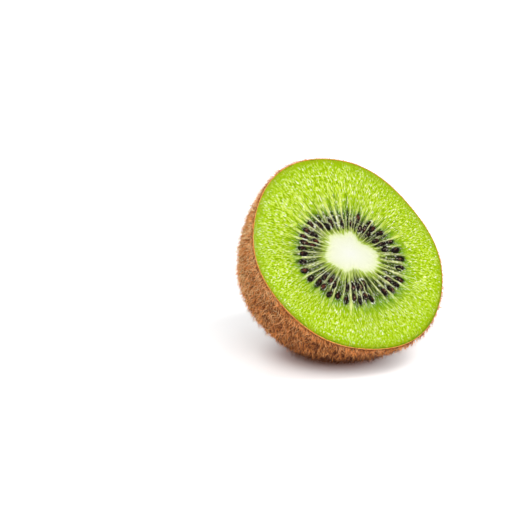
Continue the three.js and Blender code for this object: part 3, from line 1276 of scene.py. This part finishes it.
        cleft = clefts * (1 - 0.75 * rays) * np.clip(0.9 + 0.6 * fibres - 0.9 * np.maximum(crumbs, 0), 0, 1)
        cleft = cleft * (1 - smoothstep(*self.cleft_ends, radius))
        # Painted shade in the pulp round each seed, less on the rays.
        seed_shade = 0.9 * seed_shade * in_zone * (1 - 0.85 * rays)
        ragged = blend(*self.ragged, smoothstep(*self.ragged_calms, radius))
        ragged = ragged * smoothstep(*self.ragged_begins, radius)
        shade = gaps * blend(0.55, 1.0, high_side) * (1 - 0.8 * rays) * (0.8 + 0.3 * fibres)
        # Fewer pale grains and glints on the lower side: less painted light there.
        netted = in_flesh * blend(1.0, 0.8, shaded_low_side) * blend(1.0, 0.65, smoothstep(*self.net_thins, radius))
        # Where white flecks are painted as glints: the seed ring.
        painted_glint_flecks = smoothstep(*self.glint_flecks_begin, radius) * (1 - smoothstep(*self.glint_flecks_end, radius))
        values = {
            # On the lower side the rim's dark band is pushed inwards as painted shade.
            "zone": radius + ragged * streaks + 0.4 * smoothstep(*self.outer_band, radius) * shaded_low_side,
            "grain": grain,
            "ray": np.clip(rays * (0.9 + 0.7 * fibres + 0.7 * crumbs), 0, 1),
            # Dark clefts, and the painted shade round the seeds.
            "cleft": np.clip(np.maximum(cleft, seed_shade), 0, 0.98),
            "shade": np.clip(shade, 0, 0.66),
            "deep": self.deep(places) * (1 - 0.9 * rays) * np.clip(0.9 + 0.8 * fibres, 0, 1),
            # Pale film of pulp round the seeds, partly a painted glint.
            "film": 0.95 * smoothstep(0.26, 0.56, film * (0.5 + 1.6 * fibres)) * in_zone,
            "net": (netted + 0.3 * in_zone) * calm_rim,
            # Painted glint flecks, more of them on the rays.
            "painted_glint_flecks": painted_glint_flecks * (0.6 + 0.35 * rays),
        }
        return np.concatenate([places, height[..., None]], axis=-1), values


# The pieces

@dataclass
class Layer:
    """What every piece of the fruit needs: its form, how it lies and its cut face."""

    form: FruitForm
    lie: Lie
    face: CutFace

    def dress(self, piece: Piece, material: Material, slot: str, stands_for_solid: bool = True) -> Piece:
        """Gives the piece its material and lets it ride on the body.

        Args:
            piece: the piece.
            material: its finish.
            slot: the name of the solid that it stands for.
            stands_for_solid: whether it also takes that solid's place.

        Returns:
            The piece.
        """
        piece.data.materials.append(material)
        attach(piece, BODY)
        if stands_for_solid:
            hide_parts(slot)
        log.info("%s: %d faces", piece.name, len(piece.data.polygons))
        return piece


@dataclass(frozen=True)
class Cup:
    """A quarter oval turned round the axis: its radius at the cut, its depth and its bluntness."""

    radius: float
    depth: float
    bluntness: float = 2.0


@dataclass
class CutLayer(Layer):
    """A layer that shows in the cut: closed below by its outside and, if it is a cup, by its hollow."""

    name: str
    columns: int
    face_rows: int
    finish: CutTissue
    outside: Cup
    hollow: Cup | None = None
    level: float = 0.0
    under_skin: float | None = None
    wall_rows: int = 8

    def wall(self, cup: Cup) -> tuple[Array, Array]:
        """Rings of a wall from its end to just under the cut, closer together near the cut.

        Args:
            cup: the wall's oval.

        Returns:
            The rings and the end point, in the fruit's own frame.
        """
        turns = np.pi / 2 * (1 - np.arange(1, self.wall_rows) / self.wall_rows) ** 2
        rings = self.form.layer(cup.radius, cup.depth, turns, self.columns, cup.bluntness)
        if cup is self.outside and self.under_skin is not None:
            rings = self.form.under_fuzz(rings, self.under_skin)
        return rings, np.array([0, 0, self.form.dimple(np.array(0.0), np.array(cup.depth)) - cup.depth])

    def build(self) -> Piece:
        """Rings up the outside, inwards over the face, and down the hollow or to the middle.

        Returns:
            The piece. The face's values run on down both walls, and the core's grain is the place itself.
        """
        inside = self.hollow.radius if self.hollow else 0.0
        radii = np.linspace(self.outside.radius, inside, self.face_rows + 1)
        if not self.hollow:
            radii = radii[:-1]
        shown, values = self.face.surface(radii[:, None], even_turns(self.columns)[None, :])
        if not self.hollow:
            values["grain"] = shown
        under, first = self.wall(self.outside)
        middle = np.array([0, 0, shown[-1, :, 2].mean()])
        down, last = self.wall(self.hollow) if self.hollow else (under[:0], middle)
        start = 1 / self.wall_rows
        bands = [Band(len(under), Tile.CORNER_A, start, 1.0),
                 Band(len(shown) - 1, Tile.MAIN, 1.0, float(radii[-1] / self.outside.radius))]
        if self.hollow:
            bands.append(Band(len(down), Tile.CORNER_B, 1.0, start))
        carried = {}
        for key, value in values.items():
            on_wall, in_hollow = value[:1].repeat(len(under), axis=0), value[-1:].repeat(len(down), axis=0)
            at_poles = np.stack([value[0].mean(axis=0), value[-1].mean(axis=0)])
            carried[key] = (np.concatenate([on_wall, value, in_hollow]), at_poles)
        rings = self.lie.stand(np.concatenate([under, shown, down[::-1]]), self.level)
        poles = self.lie.stand(np.stack([first, last]), self.level)
        piece = turned_mesh(self.name, rings, poles, bands, carried, SHARP_DEGREES)
        return self.dress(piece, self.finish.material(), self.name)


@dataclass
class Seeds(Layer):
    """The seeds: drops with their point towards the core, a little flattened, and wet."""

    around: int = 22
    along: int = 15
    flatness: float = 0.86
    roundness: float = 0.52
    blunt_swell: float = 0.16
    dents: float = 0.05
    dents_along: float = 3.0
    dents_round: float = 1.6
    pitch: tuple[float, float] = (-0.16, 0.16)
    sunk: tuple[float, float] = (-0.22, 0.1)
    crown_start: float = 0.25

    def drops(self, half: Array, radius: Array) -> Array:
        """Points of the seeds before they are turned, their point towards -X.

        A seed's outline is its radius times (1 - t²) to the power of its roundness, times 1 plus t times its
        blunt swell, with t from -1 at the point to 1 at the blunt end. It is slightly dented.

        Args:
            half: each seed's half length, (seeds, 1, 1).
            radius: each seed's radius, (seeds, 1, 1).

        Returns:
            The points, (seeds, points, 3): ring by ring, and then the point and the blunt end.
        """
        count = len(half)
        steps = np.sin(np.linspace(-np.pi / 2, np.pi / 2, self.along + 2))[1:-1, None]
        out = (1 - steps**2) ** self.roundness * (1 + self.blunt_swell * steps)
        turn = even_turns(self.around)
        number = np.arange(count)[:, None, None]
        round_x, round_y = self.dents_round * np.cos(turn), self.dents_round * np.sin(turn)
        on_seed = np.broadcast_arrays(self.dents_along * steps, round_x, number + round_y)
        dented = 1 + self.dents * noise(np.stack(on_seed, axis=-1), 61)
        across = radius * out * np.cos(turn) * dented
        height = radius * self.flatness * out * np.sin(turn) * dented
        rings = np.stack([half * steps + 0 * turn, across, height], axis=-1)
        return np.concatenate([rings.reshape(count, -1, 3), half * np.array([[-1, 0, 0], [1, 0, 0]])], axis=1)

    def build(self) -> Piece:
        """All seeds at once, each pitched a little, turned to its heading and sunk by its own amount.

        Returns:
            The piece, with how near the crown each point is, where the coat is painted browner, partly as
            sheen.
        """
        x, y, heading, half, radius = self.face.seeds.T[:, :, None]
        count = len(x)
        rng = np.random.default_rng(17)
        points = self.drops(half[..., None], radius[..., None])
        pitch = rng.uniform(*self.pitch, count)[:, None]
        sunk = rng.uniform(*self.sunk, count)[:, None]
        length, across, height = np.moveaxis(points, -1, 0)
        forward = length * np.cos(pitch) - height * np.sin(pitch)
        lifted = length * np.sin(pitch) + height * np.cos(pitch)
        local = np.stack([
            x + forward * np.cos(heading) - across * np.sin(heading),
            y + forward * np.sin(heading) + across * np.cos(heading),
            self.face.seed_level + sunk + lifted,
        ], axis=-1)
        # How near the top of the seed a point is, where the coat's browner crown is painted, partly as sheen.
        crown = np.clip(height / radius + self.crown_start, 0, 1)
        faces = [repeated(part, points.shape[1], count) for part in tube_faces(self.along, self.around)]
        piece = put_mesh("seeds", self.lie.stand(local.reshape(-1, 3)), faces, None, {"crown": crown.ravel()})
        return self.dress(piece, SeedCoat().material(), "seed_zone")


@dataclass
class Skin(Layer):
    """The skin: a thin cup with pores and low bumps outside, and a slightly frayed edge at the cut."""

    columns: int = 420
    outer_rows: int = 165
    inner_rows: int = 10
    thickness: float = 0.15
    lip: float = 0.04
    fray: float = 0.05
    fray_grain: float = 1.1
    rounding: float = 0.03

    # Height and size of the pores and of the bumps, in millimetres, and the turns in which they fade.
    pores: tuple[float, float] = (0.06, 1.4)
    bumps: tuple[float, float] = (0.08, 7.0)
    calm_turns: tuple[float, float] = (0.0, 0.12)

    # How much of the fresh cut shows on the rings next to the edge, from the outside to the inside.
    FRESH = (0.25, 0.6, 1.0, 1.0, 1.0)

    # Where the edge's strip starts on the tile's radius.
    EDGE_ON_TILE = 0.97

    def outside(self) -> Array:
        """The outside, raised and lowered by two sizes of noise.

        Returns:
            Its rings from the blossom end to the cut, (rows, columns, 3), in the fruit's own frame.
        """
        form = self.form
        turns = quarter_turns(self.outer_rows)
        rings = form.layer(form.skin_radius, form.half_length, turns, self.columns)
        (pore_height, pore_mm), (bump_height, bump_mm) = self.pores, self.bumps
        pitted = pore_height * layered_noise(rings / pore_mm, 2, 71)
        raised = pitted + bump_height * noise(rings / bump_mm, 72)
        calm = smoothstep(*self.calm_turns, turns)[:, None]
        return form.under_fuzz(rings) + form.outwards(rings) * (raised * calm)[..., None]

    def rim_height(self, round_radius: float) -> Array:
        """Height of the edge all round.

        Args:
            round_radius: the edge's radius in the round fruit.

        Returns:
            The face's own height there, with a lip and a little fraying, (columns).
        """
        turned = even_turns(self.columns)
        grain = self.face.grain(np.array(0.0), turned)
        frayed = self.fray * layered_noise(grain * self.fray_grain, 2, 73)
        base, _ = self.face.surface(np.array([[round_radius]]), turned[None, :])
        return base[0, :, 2] + self.lip + frayed

    def build(self) -> Piece:
        """Rings up the outside, over the edge and down the inside.

        Returns:
            The piece, with how much of the fresh cut shows at each point.
        """
        form = self.form
        radius, depth = form.skin_radius - self.thickness, form.half_length - self.thickness
        inner = form.under_fuzz(form.layer(radius, depth, quarter_turns(self.inner_rows), self.columns)[::-1])
        outer = self.outside()
        edge = self.rim_height(radius)
        outer[-1, :, 2] = edge - self.rounding
        inner[0, :, 2] = edge
        middle = blend(outer[-1], inner[0], 0.4)
        middle[:, 2] = edge + self.rounding
        low = self.lie.stand(np.concatenate([outer, middle[None]]))
        rings = np.concatenate([low, self.lie.stand(inner, self.thickness)])
        tip = form.dimple(np.array(0.0), np.array(form.half_length)) - form.half_length
        ends = self.lie.stand(np.array([[0, 0, tip], [0, 0, tip + self.thickness]]))
        bands = [Band(len(outer) - 1, Tile.MAIN, 1 / self.outer_rows, self.EDGE_ON_TILE),
                 Band(2, Tile.MAIN, self.EDGE_ON_TILE, 1.0),
                 Band(len(inner) - 1, Tile.CORNER_A, 1.0, 1 / self.inner_rows)]
        cut = np.zeros(rings.shape[:2])
        cut[len(outer) - 3 : len(outer) + 2] = np.array(self.FRESH)[:, None]
        piece = turned_mesh("skin", rings, ends, bands, {"edge": (cut, np.zeros(2))}, SHARP_DEGREES)
        return self.dress(piece, FruitSkin().material(), "skin")


@dataclass(frozen=True)
class HairKind:
    """One kind of hair: how many, how long and thick in millimetres, how it stands, and its tones.

    Its rise is the angle over the skin in radians. Lay, clumping and scatter are how strongly the hairs are
    combed towards the blossom end, drawn into clumps, and turned each its own way.
    """

    name: str
    count: int
    length: tuple[float, float]
    width: float
    joints: int
    rise: tuple[float, float]
    lay: float
    clumping: float
    scatter: float
    bend: float
    tones: tuple[float, float]
    shaft: HairShaft


class HairBed:
    """The outside of the skin as a bed for hair: random roots spread evenly over its area."""

    def __init__(self, rings: Array, lie: Lie) -> None:
        """Works out each cell's corners, area, normal and depth.

        Args:
            rings: the skin's outside in the fruit's own frame, (rows, columns, 3).
            lie: how the fruit lies.
        """
        stood = lie.stand(rings)
        after = np.roll(stood, -1, axis=1)
        self.corners = np.stack([stood[:-1], after[:-1], after[1:], stood[1:]], axis=2)
        first, second, third, fourth = np.moveaxis(self.corners, 2, 0)
        cross = np.cross(third - first, fourth - second)
        self.area = np.linalg.norm(cross, axis=-1) / 2
        flat = unit(cross)
        self.normal = unit(flat + np.roll(flat, 1, axis=1) + np.roll(flat, -1, axis=1))
        level = rings[..., 2]
        level_after = np.roll(level, -1, axis=1)
        self.depth = -(level[:-1] + level[1:] + level_after[:-1] + level_after[1:]) / 4

    def roots(self, count: int, share: Array, rng: np.random.Generator) -> tuple[Array, Array]:
        """Random roots.

        Args:
            count: how many.
            share: how densely each cell is planted, (rows, columns).
            rng: the random source.

        Returns:
            The roots and the skin's normals there.
        """
        weight = (self.area * share).ravel()
        cell = rng.choice(weight.size, size=count, p=weight / weight.sum())
        a, b = rng.random((2, count))
        mix = np.stack([(1 - a) * (1 - b), a * (1 - b), a * b, (1 - a) * b], axis=-1)
        root = np.einsum("nk,nkd->nd", mix, self.corners.reshape(-1, 4, 3)[cell])
        return root, self.normal.reshape(-1, 3)[cell]


@dataclass
class Fuzz(Layer):
    """The fuzz on the skin: short down, brown hairs and longer pale ones, each a thin tapered spike."""

    bed: HairBed
    ground_gap: float = 0.03
    ground_layer: float = 0.05
    rooted: float = 0.04
    clump_mm: float = 1.9
    swirl_mm: float = 9.0
    droop: float = 0.4
    taper: float = 0.55
    strip: float = 0.003

    # How strongly clumps and swirls comb the hairs, and clumps bend them along the skin.
    CLUMP_COMB = 0.8
    SWIRL_COMB = 0.6
    CLUMP_BEND = 1.2
    BEND_ALONG_SKIN = 0.8

    # Heights where planting starts, and the depths of the tuft, of the rim and of the thin zone at the cut.
    PLANTED_MM = (0.02, 0.5)
    TUFT_MM = (33.0, 33.9)
    RIM_MM = (1.6, 0.2)
    THIN_MM = (0.0, 1.2)
    THIN_SHARE = 0.35

    # The side that is worn shorter, where that starts and is full, and by how much.
    WORN_SIDE = (0.45, -0.25, 0.85)
    WORN_AT = (0.75, -0.35)
    WORN_SHARE = 0.45

    # How much a clump's tone differs, and how much painted shade darkens the hairs underneath and near the
    # ground.
    CLUMP_TONE = 0.18
    PAINTED_SHADE_BELOW = 0.28
    BELOW_AT = (-0.1, -0.8)
    PAINTED_SHADE_LOW = 0.65
    LOW_MM = (8.0, 1.5)

    def share(self, kind_name: str) -> Array:
        """How densely each cell of the skin is planted with a kind of hair.

        Args:
            kind_name: the kind's name. The tuft grows at the blossom end and the rim's hairs at the cut.

        Returns:
            A share for each cell, 0 where the skin is pressed flat on the ground.
        """
        clear = smoothstep(*self.PLANTED_MM, self.bed.corners[..., 2].mean(axis=-1))
        depth = self.bed.depth
        if kind_name == "fuzz_tuft":
            return clear * smoothstep(*self.TUFT_MM, depth)
        if kind_name == "fuzz_rim":
            return clear * smoothstep(*self.RIM_MM, depth)
        return clear * blend(self.THIN_SHARE, 1.0, smoothstep(*self.THIN_MM, depth))

    def lines(
        self, kind: HairKind, root: Array, normal: Array, clumps: Array, rng: np.random.Generator
    ) -> tuple[Array, Array]:
        """The hairs' middle lines: root + length * (s * direction + bend * s² * side), with s from 0 to 1.

        Args:
            kind: the kind of hair.
            root: where each hair grows, (hairs, 3).
            normal: the skin's normal there.
            clumps: where each hair's clump leans.
            rng: the random source.

        Returns:
            Points at the joints and the tip, (hairs, joints + 1, 3), all over the ground, and the directions.
        """
        count = kind.count
        swirl = np.stack([noise(root / self.swirl_mm, 90 + axis) for axis in range(3)], axis=-1)
        loose = rng.normal(0, kind.scatter, (count, 3))
        away = self.lie.direction(np.array([0.0, 0.0, -1.0]))
        drawn = self.CLUMP_COMB * clumps + self.SWIRL_COMB * swirl
        comb = kind.lay * away + kind.clumping * drawn + loose - self.droop * np.array([0, 0, 1])
        flat = comb - (comb * normal).sum(-1, keepdims=True) * normal
        rise = rng.uniform(*kind.rise, count)[:, None]
        outward = unit(unit(flat) * np.cos(rise) + normal * np.sin(rise))
        side = unit(rng.normal(0, 1, (count, 3)) + self.CLUMP_BEND * clumps)
        side = side - self.BEND_ALONG_SKIN * (side * normal).sum(-1, keepdims=True) * normal
        worn = blend(self.WORN_SHARE, 1.0, smoothstep(*self.WORN_AT, normal @ np.array(self.WORN_SIDE)))
        length = (rng.uniform(*kind.length, count) * worn)[:, None, None]
        steps = (np.arange(kind.joints + 1) / kind.joints)[:, None]
        line = root[:, None] - self.rooted * normal[:, None]
        line = line + length * (steps * outward[:, None] + kind.bend * steps**2 * side[:, None])
        lowest = self.ground_gap + self.ground_layer * rng.random(count)[:, None]
        line[..., 2] = np.maximum(line[..., 2], lowest)
        return line, outward

    def tones(
        self, kind: HairKind, root: Array, normal: Array, clumps: Array, rng: np.random.Generator
    ) -> Array:
        """Each hair's tone: its own draw and its clump's, with painted shade underneath and near the ground.

        Args:
            kind: the kind of hair.
            root: where each hair grows, (hairs, 3).
            normal: the skin's normal there.
            clumps: where each hair's clump leans.
            rng: the random source.

        Returns:
            The tones, from 0.01 to 0.99.
        """
        # Painted shade: darker where the skin faces down and near the ground.
        below = smoothstep(*self.BELOW_AT, normal[:, 2])
        shaded = self.PAINTED_SHADE_BELOW * below + self.PAINTED_SHADE_LOW * smoothstep(*self.LOW_MM, root[:, 2])
        drawn = rng.uniform(*kind.tones, kind.count) + self.CLUMP_TONE * clumps[:, 0]
        return np.clip(drawn - shaded, 0.01, 0.99)

    def build_kind(self, kind: HairKind, seed: int) -> Piece:
        """One kind of hair as one piece.

        Args:
            kind: the kind of hair.
            seed: the start of its random draws.

        Returns:
            The piece. Round each middle line stand three points at each joint, closed in one point at the
            tip, and on the map a hair is a thin strip at its tone.
        """
        rng = np.random.default_rng(seed)
        root, normal = self.bed.roots(kind.count, self.share(kind.name), rng)
        clumps = np.stack([noise(root / self.clump_mm, seed + axis) for axis in range(3)], axis=-1)
        line, outward = self.lines(kind, root, normal, clumps, rng)
        side_a = unit(np.cross(normal, np.array([0.3, 0.2, 1.0])))
        across = unit(np.cross(outward, side_a + 0.3 * np.cross(normal, side_a)))[:, None, None]
        other = np.cross(outward, across[:, 0, 0])[:, None, None]
        around = even_turns(3)[:, None]
        joints = kind.joints
        steps = np.arange(joints) / joints
        thick = (kind.width / 2 * (1 - self.taper * steps))[:, None, None]
        ring = line[:, :-1, None] + thick * (np.cos(around) * across + np.sin(around) * other)
        places = np.concatenate([ring.reshape(kind.count, -1, 3), line[:, -1:]], axis=1)
        places[..., 2] = np.maximum(places[..., 2], self.ground_gap)

        tip = 3 * joints
        last = tip - 3 + np.arange(3)
        caps = np.concatenate([[[0, 2, 1]], np.stack([last, np.roll(last, -1), np.full(3, tip)], axis=-1)])
        one = [part for part in (tube_faces(joints, 3)[0], caps) if len(part)]
        faces = [repeated(part, tip + 1, kind.count) for part in one]
        tone = self.tones(kind, root, normal, clumps, rng)[:, None]
        map_u = tone + np.append(np.tile(self.strip * np.array([-1, 1, 0]), joints), 0.0)
        along = np.append(np.repeat(steps, 3) + np.tile([0.0, 0.0, 0.02], joints), 1.0)
        on_map = np.stack(np.broadcast_arrays(map_u, along), axis=-1).reshape(-1, 2)
        corners = np.concatenate([on_map[part.ravel()] for part in faces])
        piece = put_mesh(kind.name, places.reshape(-1, 3), faces, corners)
        return self.dress(piece, kind.shaft.material(), "skin", stands_for_solid=False)


@dataclass
class BlossomEnd(Layer):
    """The dried remains of the flower: a ragged low crown in the dimple, covered by curled strips."""

    radius: float = 3.3
    height: float = 1.9
    middle: float = 0.45
    edge: float = 0.7
    curl: float = 0.4
    curls: int = 6
    folds: float = 0.45
    thinnest: float = 0.25
    ragged: float = 0.1
    twist: float = 8.0
    gap: float = 0.05
    grain_radius: float = 2.2
    grain_length: float = 1.5
    fold_grain: tuple[float, float, float] = (2.6, 2.6, 0.8)
    ragged_grain: float = 3.0
    columns: int = 180
    rows: int = 26
    back_step: int = 5
    waves: tuple[Wave, ...] = (Wave(5, 0.16, 20), Wave(3, 0.08, 75))

    def seat(self, out: Array) -> Array:
        """The height of the skin's outside near the axis."""
        oval = self.form.half_length * np.sqrt(1 - (out / self.form.skin_radius) ** 2)
        return self.form.dimple(out, np.array(self.form.half_length)) - oval

    def build(self) -> Piece:
        """Rings from the crown's middle out to its edge and back under it.

        The crown is highest in a ring halfway out, as a blend by the sine of the share of the radius, and its
        folds are ridges along the radius whose number changes from place to place.

        Returns:
            The piece.
        """
        turn = even_turns(self.columns)[None, :]
        share = (np.arange(1, self.rows + 1) / self.rows)[:, None]
        out = share * self.radius
        on_round = self.grain_radius * np.cos(turn), self.grain_radius * np.sin(turn)
        on_crown = np.stack(np.broadcast_arrays(*on_round, self.grain_length * share), axis=-1)
        ridges = layered_noise(on_crown * np.array(self.fold_grain), 3, 81)
        raised = self.height * blend(self.middle, 1, np.sin(np.pi * share))
        raised = raised * np.where(share >= 1, self.edge, 1)
        curled = self.curl * np.sin(self.curls * turn + self.twist * share) * smoothstep(0, 0.3, share)
        folded = self.folds * ridges * smoothstep(0, 0.25, share)
        seat = self.seat(out) - self.gap
        below = seat - np.maximum(raised + curled + folded, self.thinnest)
        worn = 1 + self.ragged * share**3 * layered_noise(on_crown * self.ragged_grain, 2, 82)
        x, y = (out * lobed(1, self.waves, turn) * worn * wave(turn) for wave in (np.cos, np.sin))
        low = np.stack([x, y, below], axis=-1)
        high = np.stack([x, y, seat + 0 * x], axis=-1)[:: -self.back_step]
        ends = np.array([[0, 0, low[0, :, 2].mean()], [0, 0, high[-1, :, 2].mean()]])
        bands = [Band(len(low), Tile.MAIN, 1 / self.rows, 1.0),
                 Band(len(high) - 1, Tile.CORNER_A, 1.0, 1 / self.rows)]
        rings = self.lie.stand(np.concatenate([low, high]))
        piece = turned_mesh("blossom_end", rings, self.lie.stand(ends), bands)
        return self.dress(piece, DriedFlower().material(), "blossom_end")


# The studio

def direction(azimuth: float, elevation: float) -> Vector:
    """The direction from the fruit towards an azimuth, 0 at the front, and an elevation, in radians."""
    flat = np.cos(elevation)
    return Vector((np.sin(azimuth) * flat, -np.cos(azimuth) * flat, np.sin(elevation)))


@dataclass(frozen=True)
class SoftBox:
    """A square lamp that faces the fruit: its place in degrees and metres, and its side in metres."""

    name: str
    azimuth: float
    elevation: float
    away: float
    size: float
    watts: float
    aim_height: float = 0.025

    def build(self) -> None:
        """Adds the lamp."""
        towards = direction(np.radians(self.azimuth), np.radians(self.elevation))
        data = bpy.data.lights.new(self.name, "AREA")
        data.energy, data.size = self.watts, self.size
        lamp = bpy.data.objects.new(self.name, data)
        lamp.location = towards * self.away + Vector((0, 0, self.aim_height))
        lamp.rotation_euler = towards.to_track_quat("Z", "Y").to_euler()
        bpy.context.scene.collection.objects.link(lamp)


@dataclass(frozen=True)
class Studio:
    """A white table, an even pale room and soft lights, with the camera where the picture was taken from."""

    azimuth: float = np.radians(-28.17)
    elevation: float = np.radians(16.0)
    distance: float = 0.5
    focal_pixels: float = 2055.4
    picture_width: float = 512.0
    aim_right: float = 92.58
    aim_down: float = -2.28
    sensor: float = 36.0
    clip: tuple[float, float] = (0.01, 20.0)
    table_radius: float = 4.0
    table_sides: int = 96
    room_light: float = 0.45
    lamps: tuple[SoftBox, ...] = (
        SoftBox("left_box", azimuth=-60, elevation=45, away=1.6, size=1.0, watts=5.5),
        SoftBox("front_box", azimuth=-10, elevation=36, away=2.0, size=1.2, watts=25.0),
        SoftBox("key_box", azimuth=20, elevation=56, away=1.3, size=0.28, watts=4.6),
    )

    def camera(self, looked_at: Vector) -> None:
        """Sets the camera so that the looked-at point lands right of and above the picture's middle.

        Args:
            looked_at: the middle of the cut, in metres.
        """
        across = Vector((np.cos(self.azimuth), np.sin(self.azimuth), 0))
        back = direction(self.azimuth, self.elevation)
        up = back.cross(across)
        shift = (up * self.aim_down - across * self.aim_right) * (self.distance / self.focal_pixels)
        data = bpy.data.cameras.new("camera")
        data.sensor_width = self.sensor
        data.lens = self.focal_pixels / self.picture_width * self.sensor
        data.clip_start, data.clip_end = self.clip
        camera = bpy.data.objects.new("camera", data)
        spot = Matrix.Translation(looked_at + back * self.distance + shift)
        camera.matrix_world = spot @ Matrix((across, up, back)).transposed().to_4x4()
        bpy.context.scene.collection.objects.link(camera)
        bpy.context.scene.camera = camera

    def room(self) -> None:
        """The room's even light."""
        world = bpy.data.worlds.new("white_room")
        world.use_nodes = True
        background = world.node_tree.nodes["Background"]
        background.inputs["Color"].default_value = linear("#ffffff")
        background.inputs["Strength"].default_value = self.room_light
        bpy.context.scene.world = world

    def table(self) -> None:
        """A round white table top, a disc of one fan."""
        turn = even_turns(self.table_sides)
        edge = np.stack([np.cos(turn), np.sin(turn), 0 * turn], axis=-1) * self.table_radius / MM
        number = np.arange(self.table_sides)
        fan = np.stack([number, np.roll(number, -1), np.full(self.table_sides, self.table_sides)], axis=-1)
        table = put_mesh("table", np.concatenate([edge, np.zeros((1, 3))]), [fan])
        table.data.materials.append(StudioTable().material())

    def build(self, looked_at: Vector) -> None:
        """Camera, room, table and lamps.

        Args:
            looked_at: the middle of the cut, in metres.
        """
        self.camera(looked_at)
        self.room()
        self.table()
        for lamp in self.lamps:
            lamp.build()
        bpy.context.scene.view_settings.view_transform = "Standard"


DOWN_SHAFT = HairShaft(
    "matt_kiwi_down", ("#4a220a", "#8a4818", "#b46c28"), ("#4e260e", "#ca7229", "#eaa04a"),
)
HAIR_SHAFT = HairShaft(
    "brown_kiwi_hair", ("#381a08", "#904a18", "#cc8238"), ("#5a2a0e", "#fc9e4e", "#ffe6ac"),
)

# Name, count, length, width, joints, rise, lay, clumping, scatter, bend, tones and shaft.
HAIR_ROWS = (
    ("fuzz_down", 30000, (0.4, 0.8), 0.13, 1, (0.2, 0.9), 0.6, 0.5, 0.4, 0.0, (0.0, 0.9), DOWN_SHAFT),
    ("fuzz_hair", 12000, (0.9, 1.8), 0.17, 3, (0.2, 0.8), 0.7, 0.4, 0.5, 0.5, (0.0, 0.8), HAIR_SHAFT),
    ("fuzz_long_hair", 9500, (1.4, 2.6), 0.18, 3, (0.15, 0.7), 0.8, 0.4, 0.5, 0.55, (0.1, 1.0), HAIR_SHAFT),
    ("fuzz_stray_hair", 8000, (1.2, 2.6), 0.15, 3, (0.5, 1.2), 0.7, 0.25, 0.65, 0.5, (0.3, 1.0), HAIR_SHAFT),
    ("fuzz_rim", 1600, (0.7, 2.2), 0.11, 3, (0.4, 1.3), 0.4, 0.4, 0.5, 0.5, (0.5, 1.0), HAIR_SHAFT),
    ("fuzz_tuft", 1500, (1.6, 3.4), 0.12, 3, (0.5, 1.3), 0.0, 0.9, 0.35, 0.5, (0.0, 0.6), HAIR_SHAFT),
)

# Where each kind's random draws start.
HAIR_SEEDS = range(200, 260, 10)


def main() -> None:
    """Loads the solids as the frame and builds the studio and each piece in order."""
    logging.basicConfig(level=logging.INFO, format="%(name)s %(message)s")
    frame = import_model()
    log.info("solids: %s", sorted(frame["nodes"]))
    form = FruitForm()
    lie = Lie(form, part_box("skin"))
    layout = SeedLayout(form)
    shared = {"form": form, "lie": lie, "face": CutFace(form, layout.table(), layout.level)}
    Studio().build(Vector(lie.stand(np.zeros(3)) * MM))

    skin = Skin(**shared)
    skin.build()
    flesh = Cup(form.skin_radius - skin.thickness, form.half_length - skin.thickness)
    zone = Cup(form.seed_zone_radius, form.seed_zone_depth)
    core = Cup(form.core_radius, form.core_depth, form.core_bluntness)
    CutLayer(**shared, name="outer_flesh", columns=1040, face_rows=76, outside=flesh, hollow=zone,
             finish=CutTissue("moist_kiwi_flesh", roughness=0.34, juice=0.35, scatter=0.08, relief_mm=0.1),
             level=skin.thickness, under_skin=0.3).build()
    CutLayer(**shared, name="seed_zone", columns=960, face_rows=76, outside=zone, hollow=core,
             finish=CutTissue("juicy_kiwi_pulp", roughness=0.28, juice=0.3, scatter=0.02, relief_mm=0.08),
             ).build()
    CutLayer(**shared, name="core", columns=480, face_rows=34, outside=core,
             finish=CutTissue("firm_kiwi_core", roughness=0.42, juice=0.2, scatter=0.12, relief_mm=0.02),
             ).build()
    Seeds(**shared).build()
    BlossomEnd(**shared).build()
    fuzz = Fuzz(**shared, bed=HairBed(skin.outside(), lie))
    for row, seed in zip(HAIR_ROWS, HAIR_SEEDS):
        fuzz.build_kind(HairKind(*row), seed)


if __name__ == "__main__":
    main()
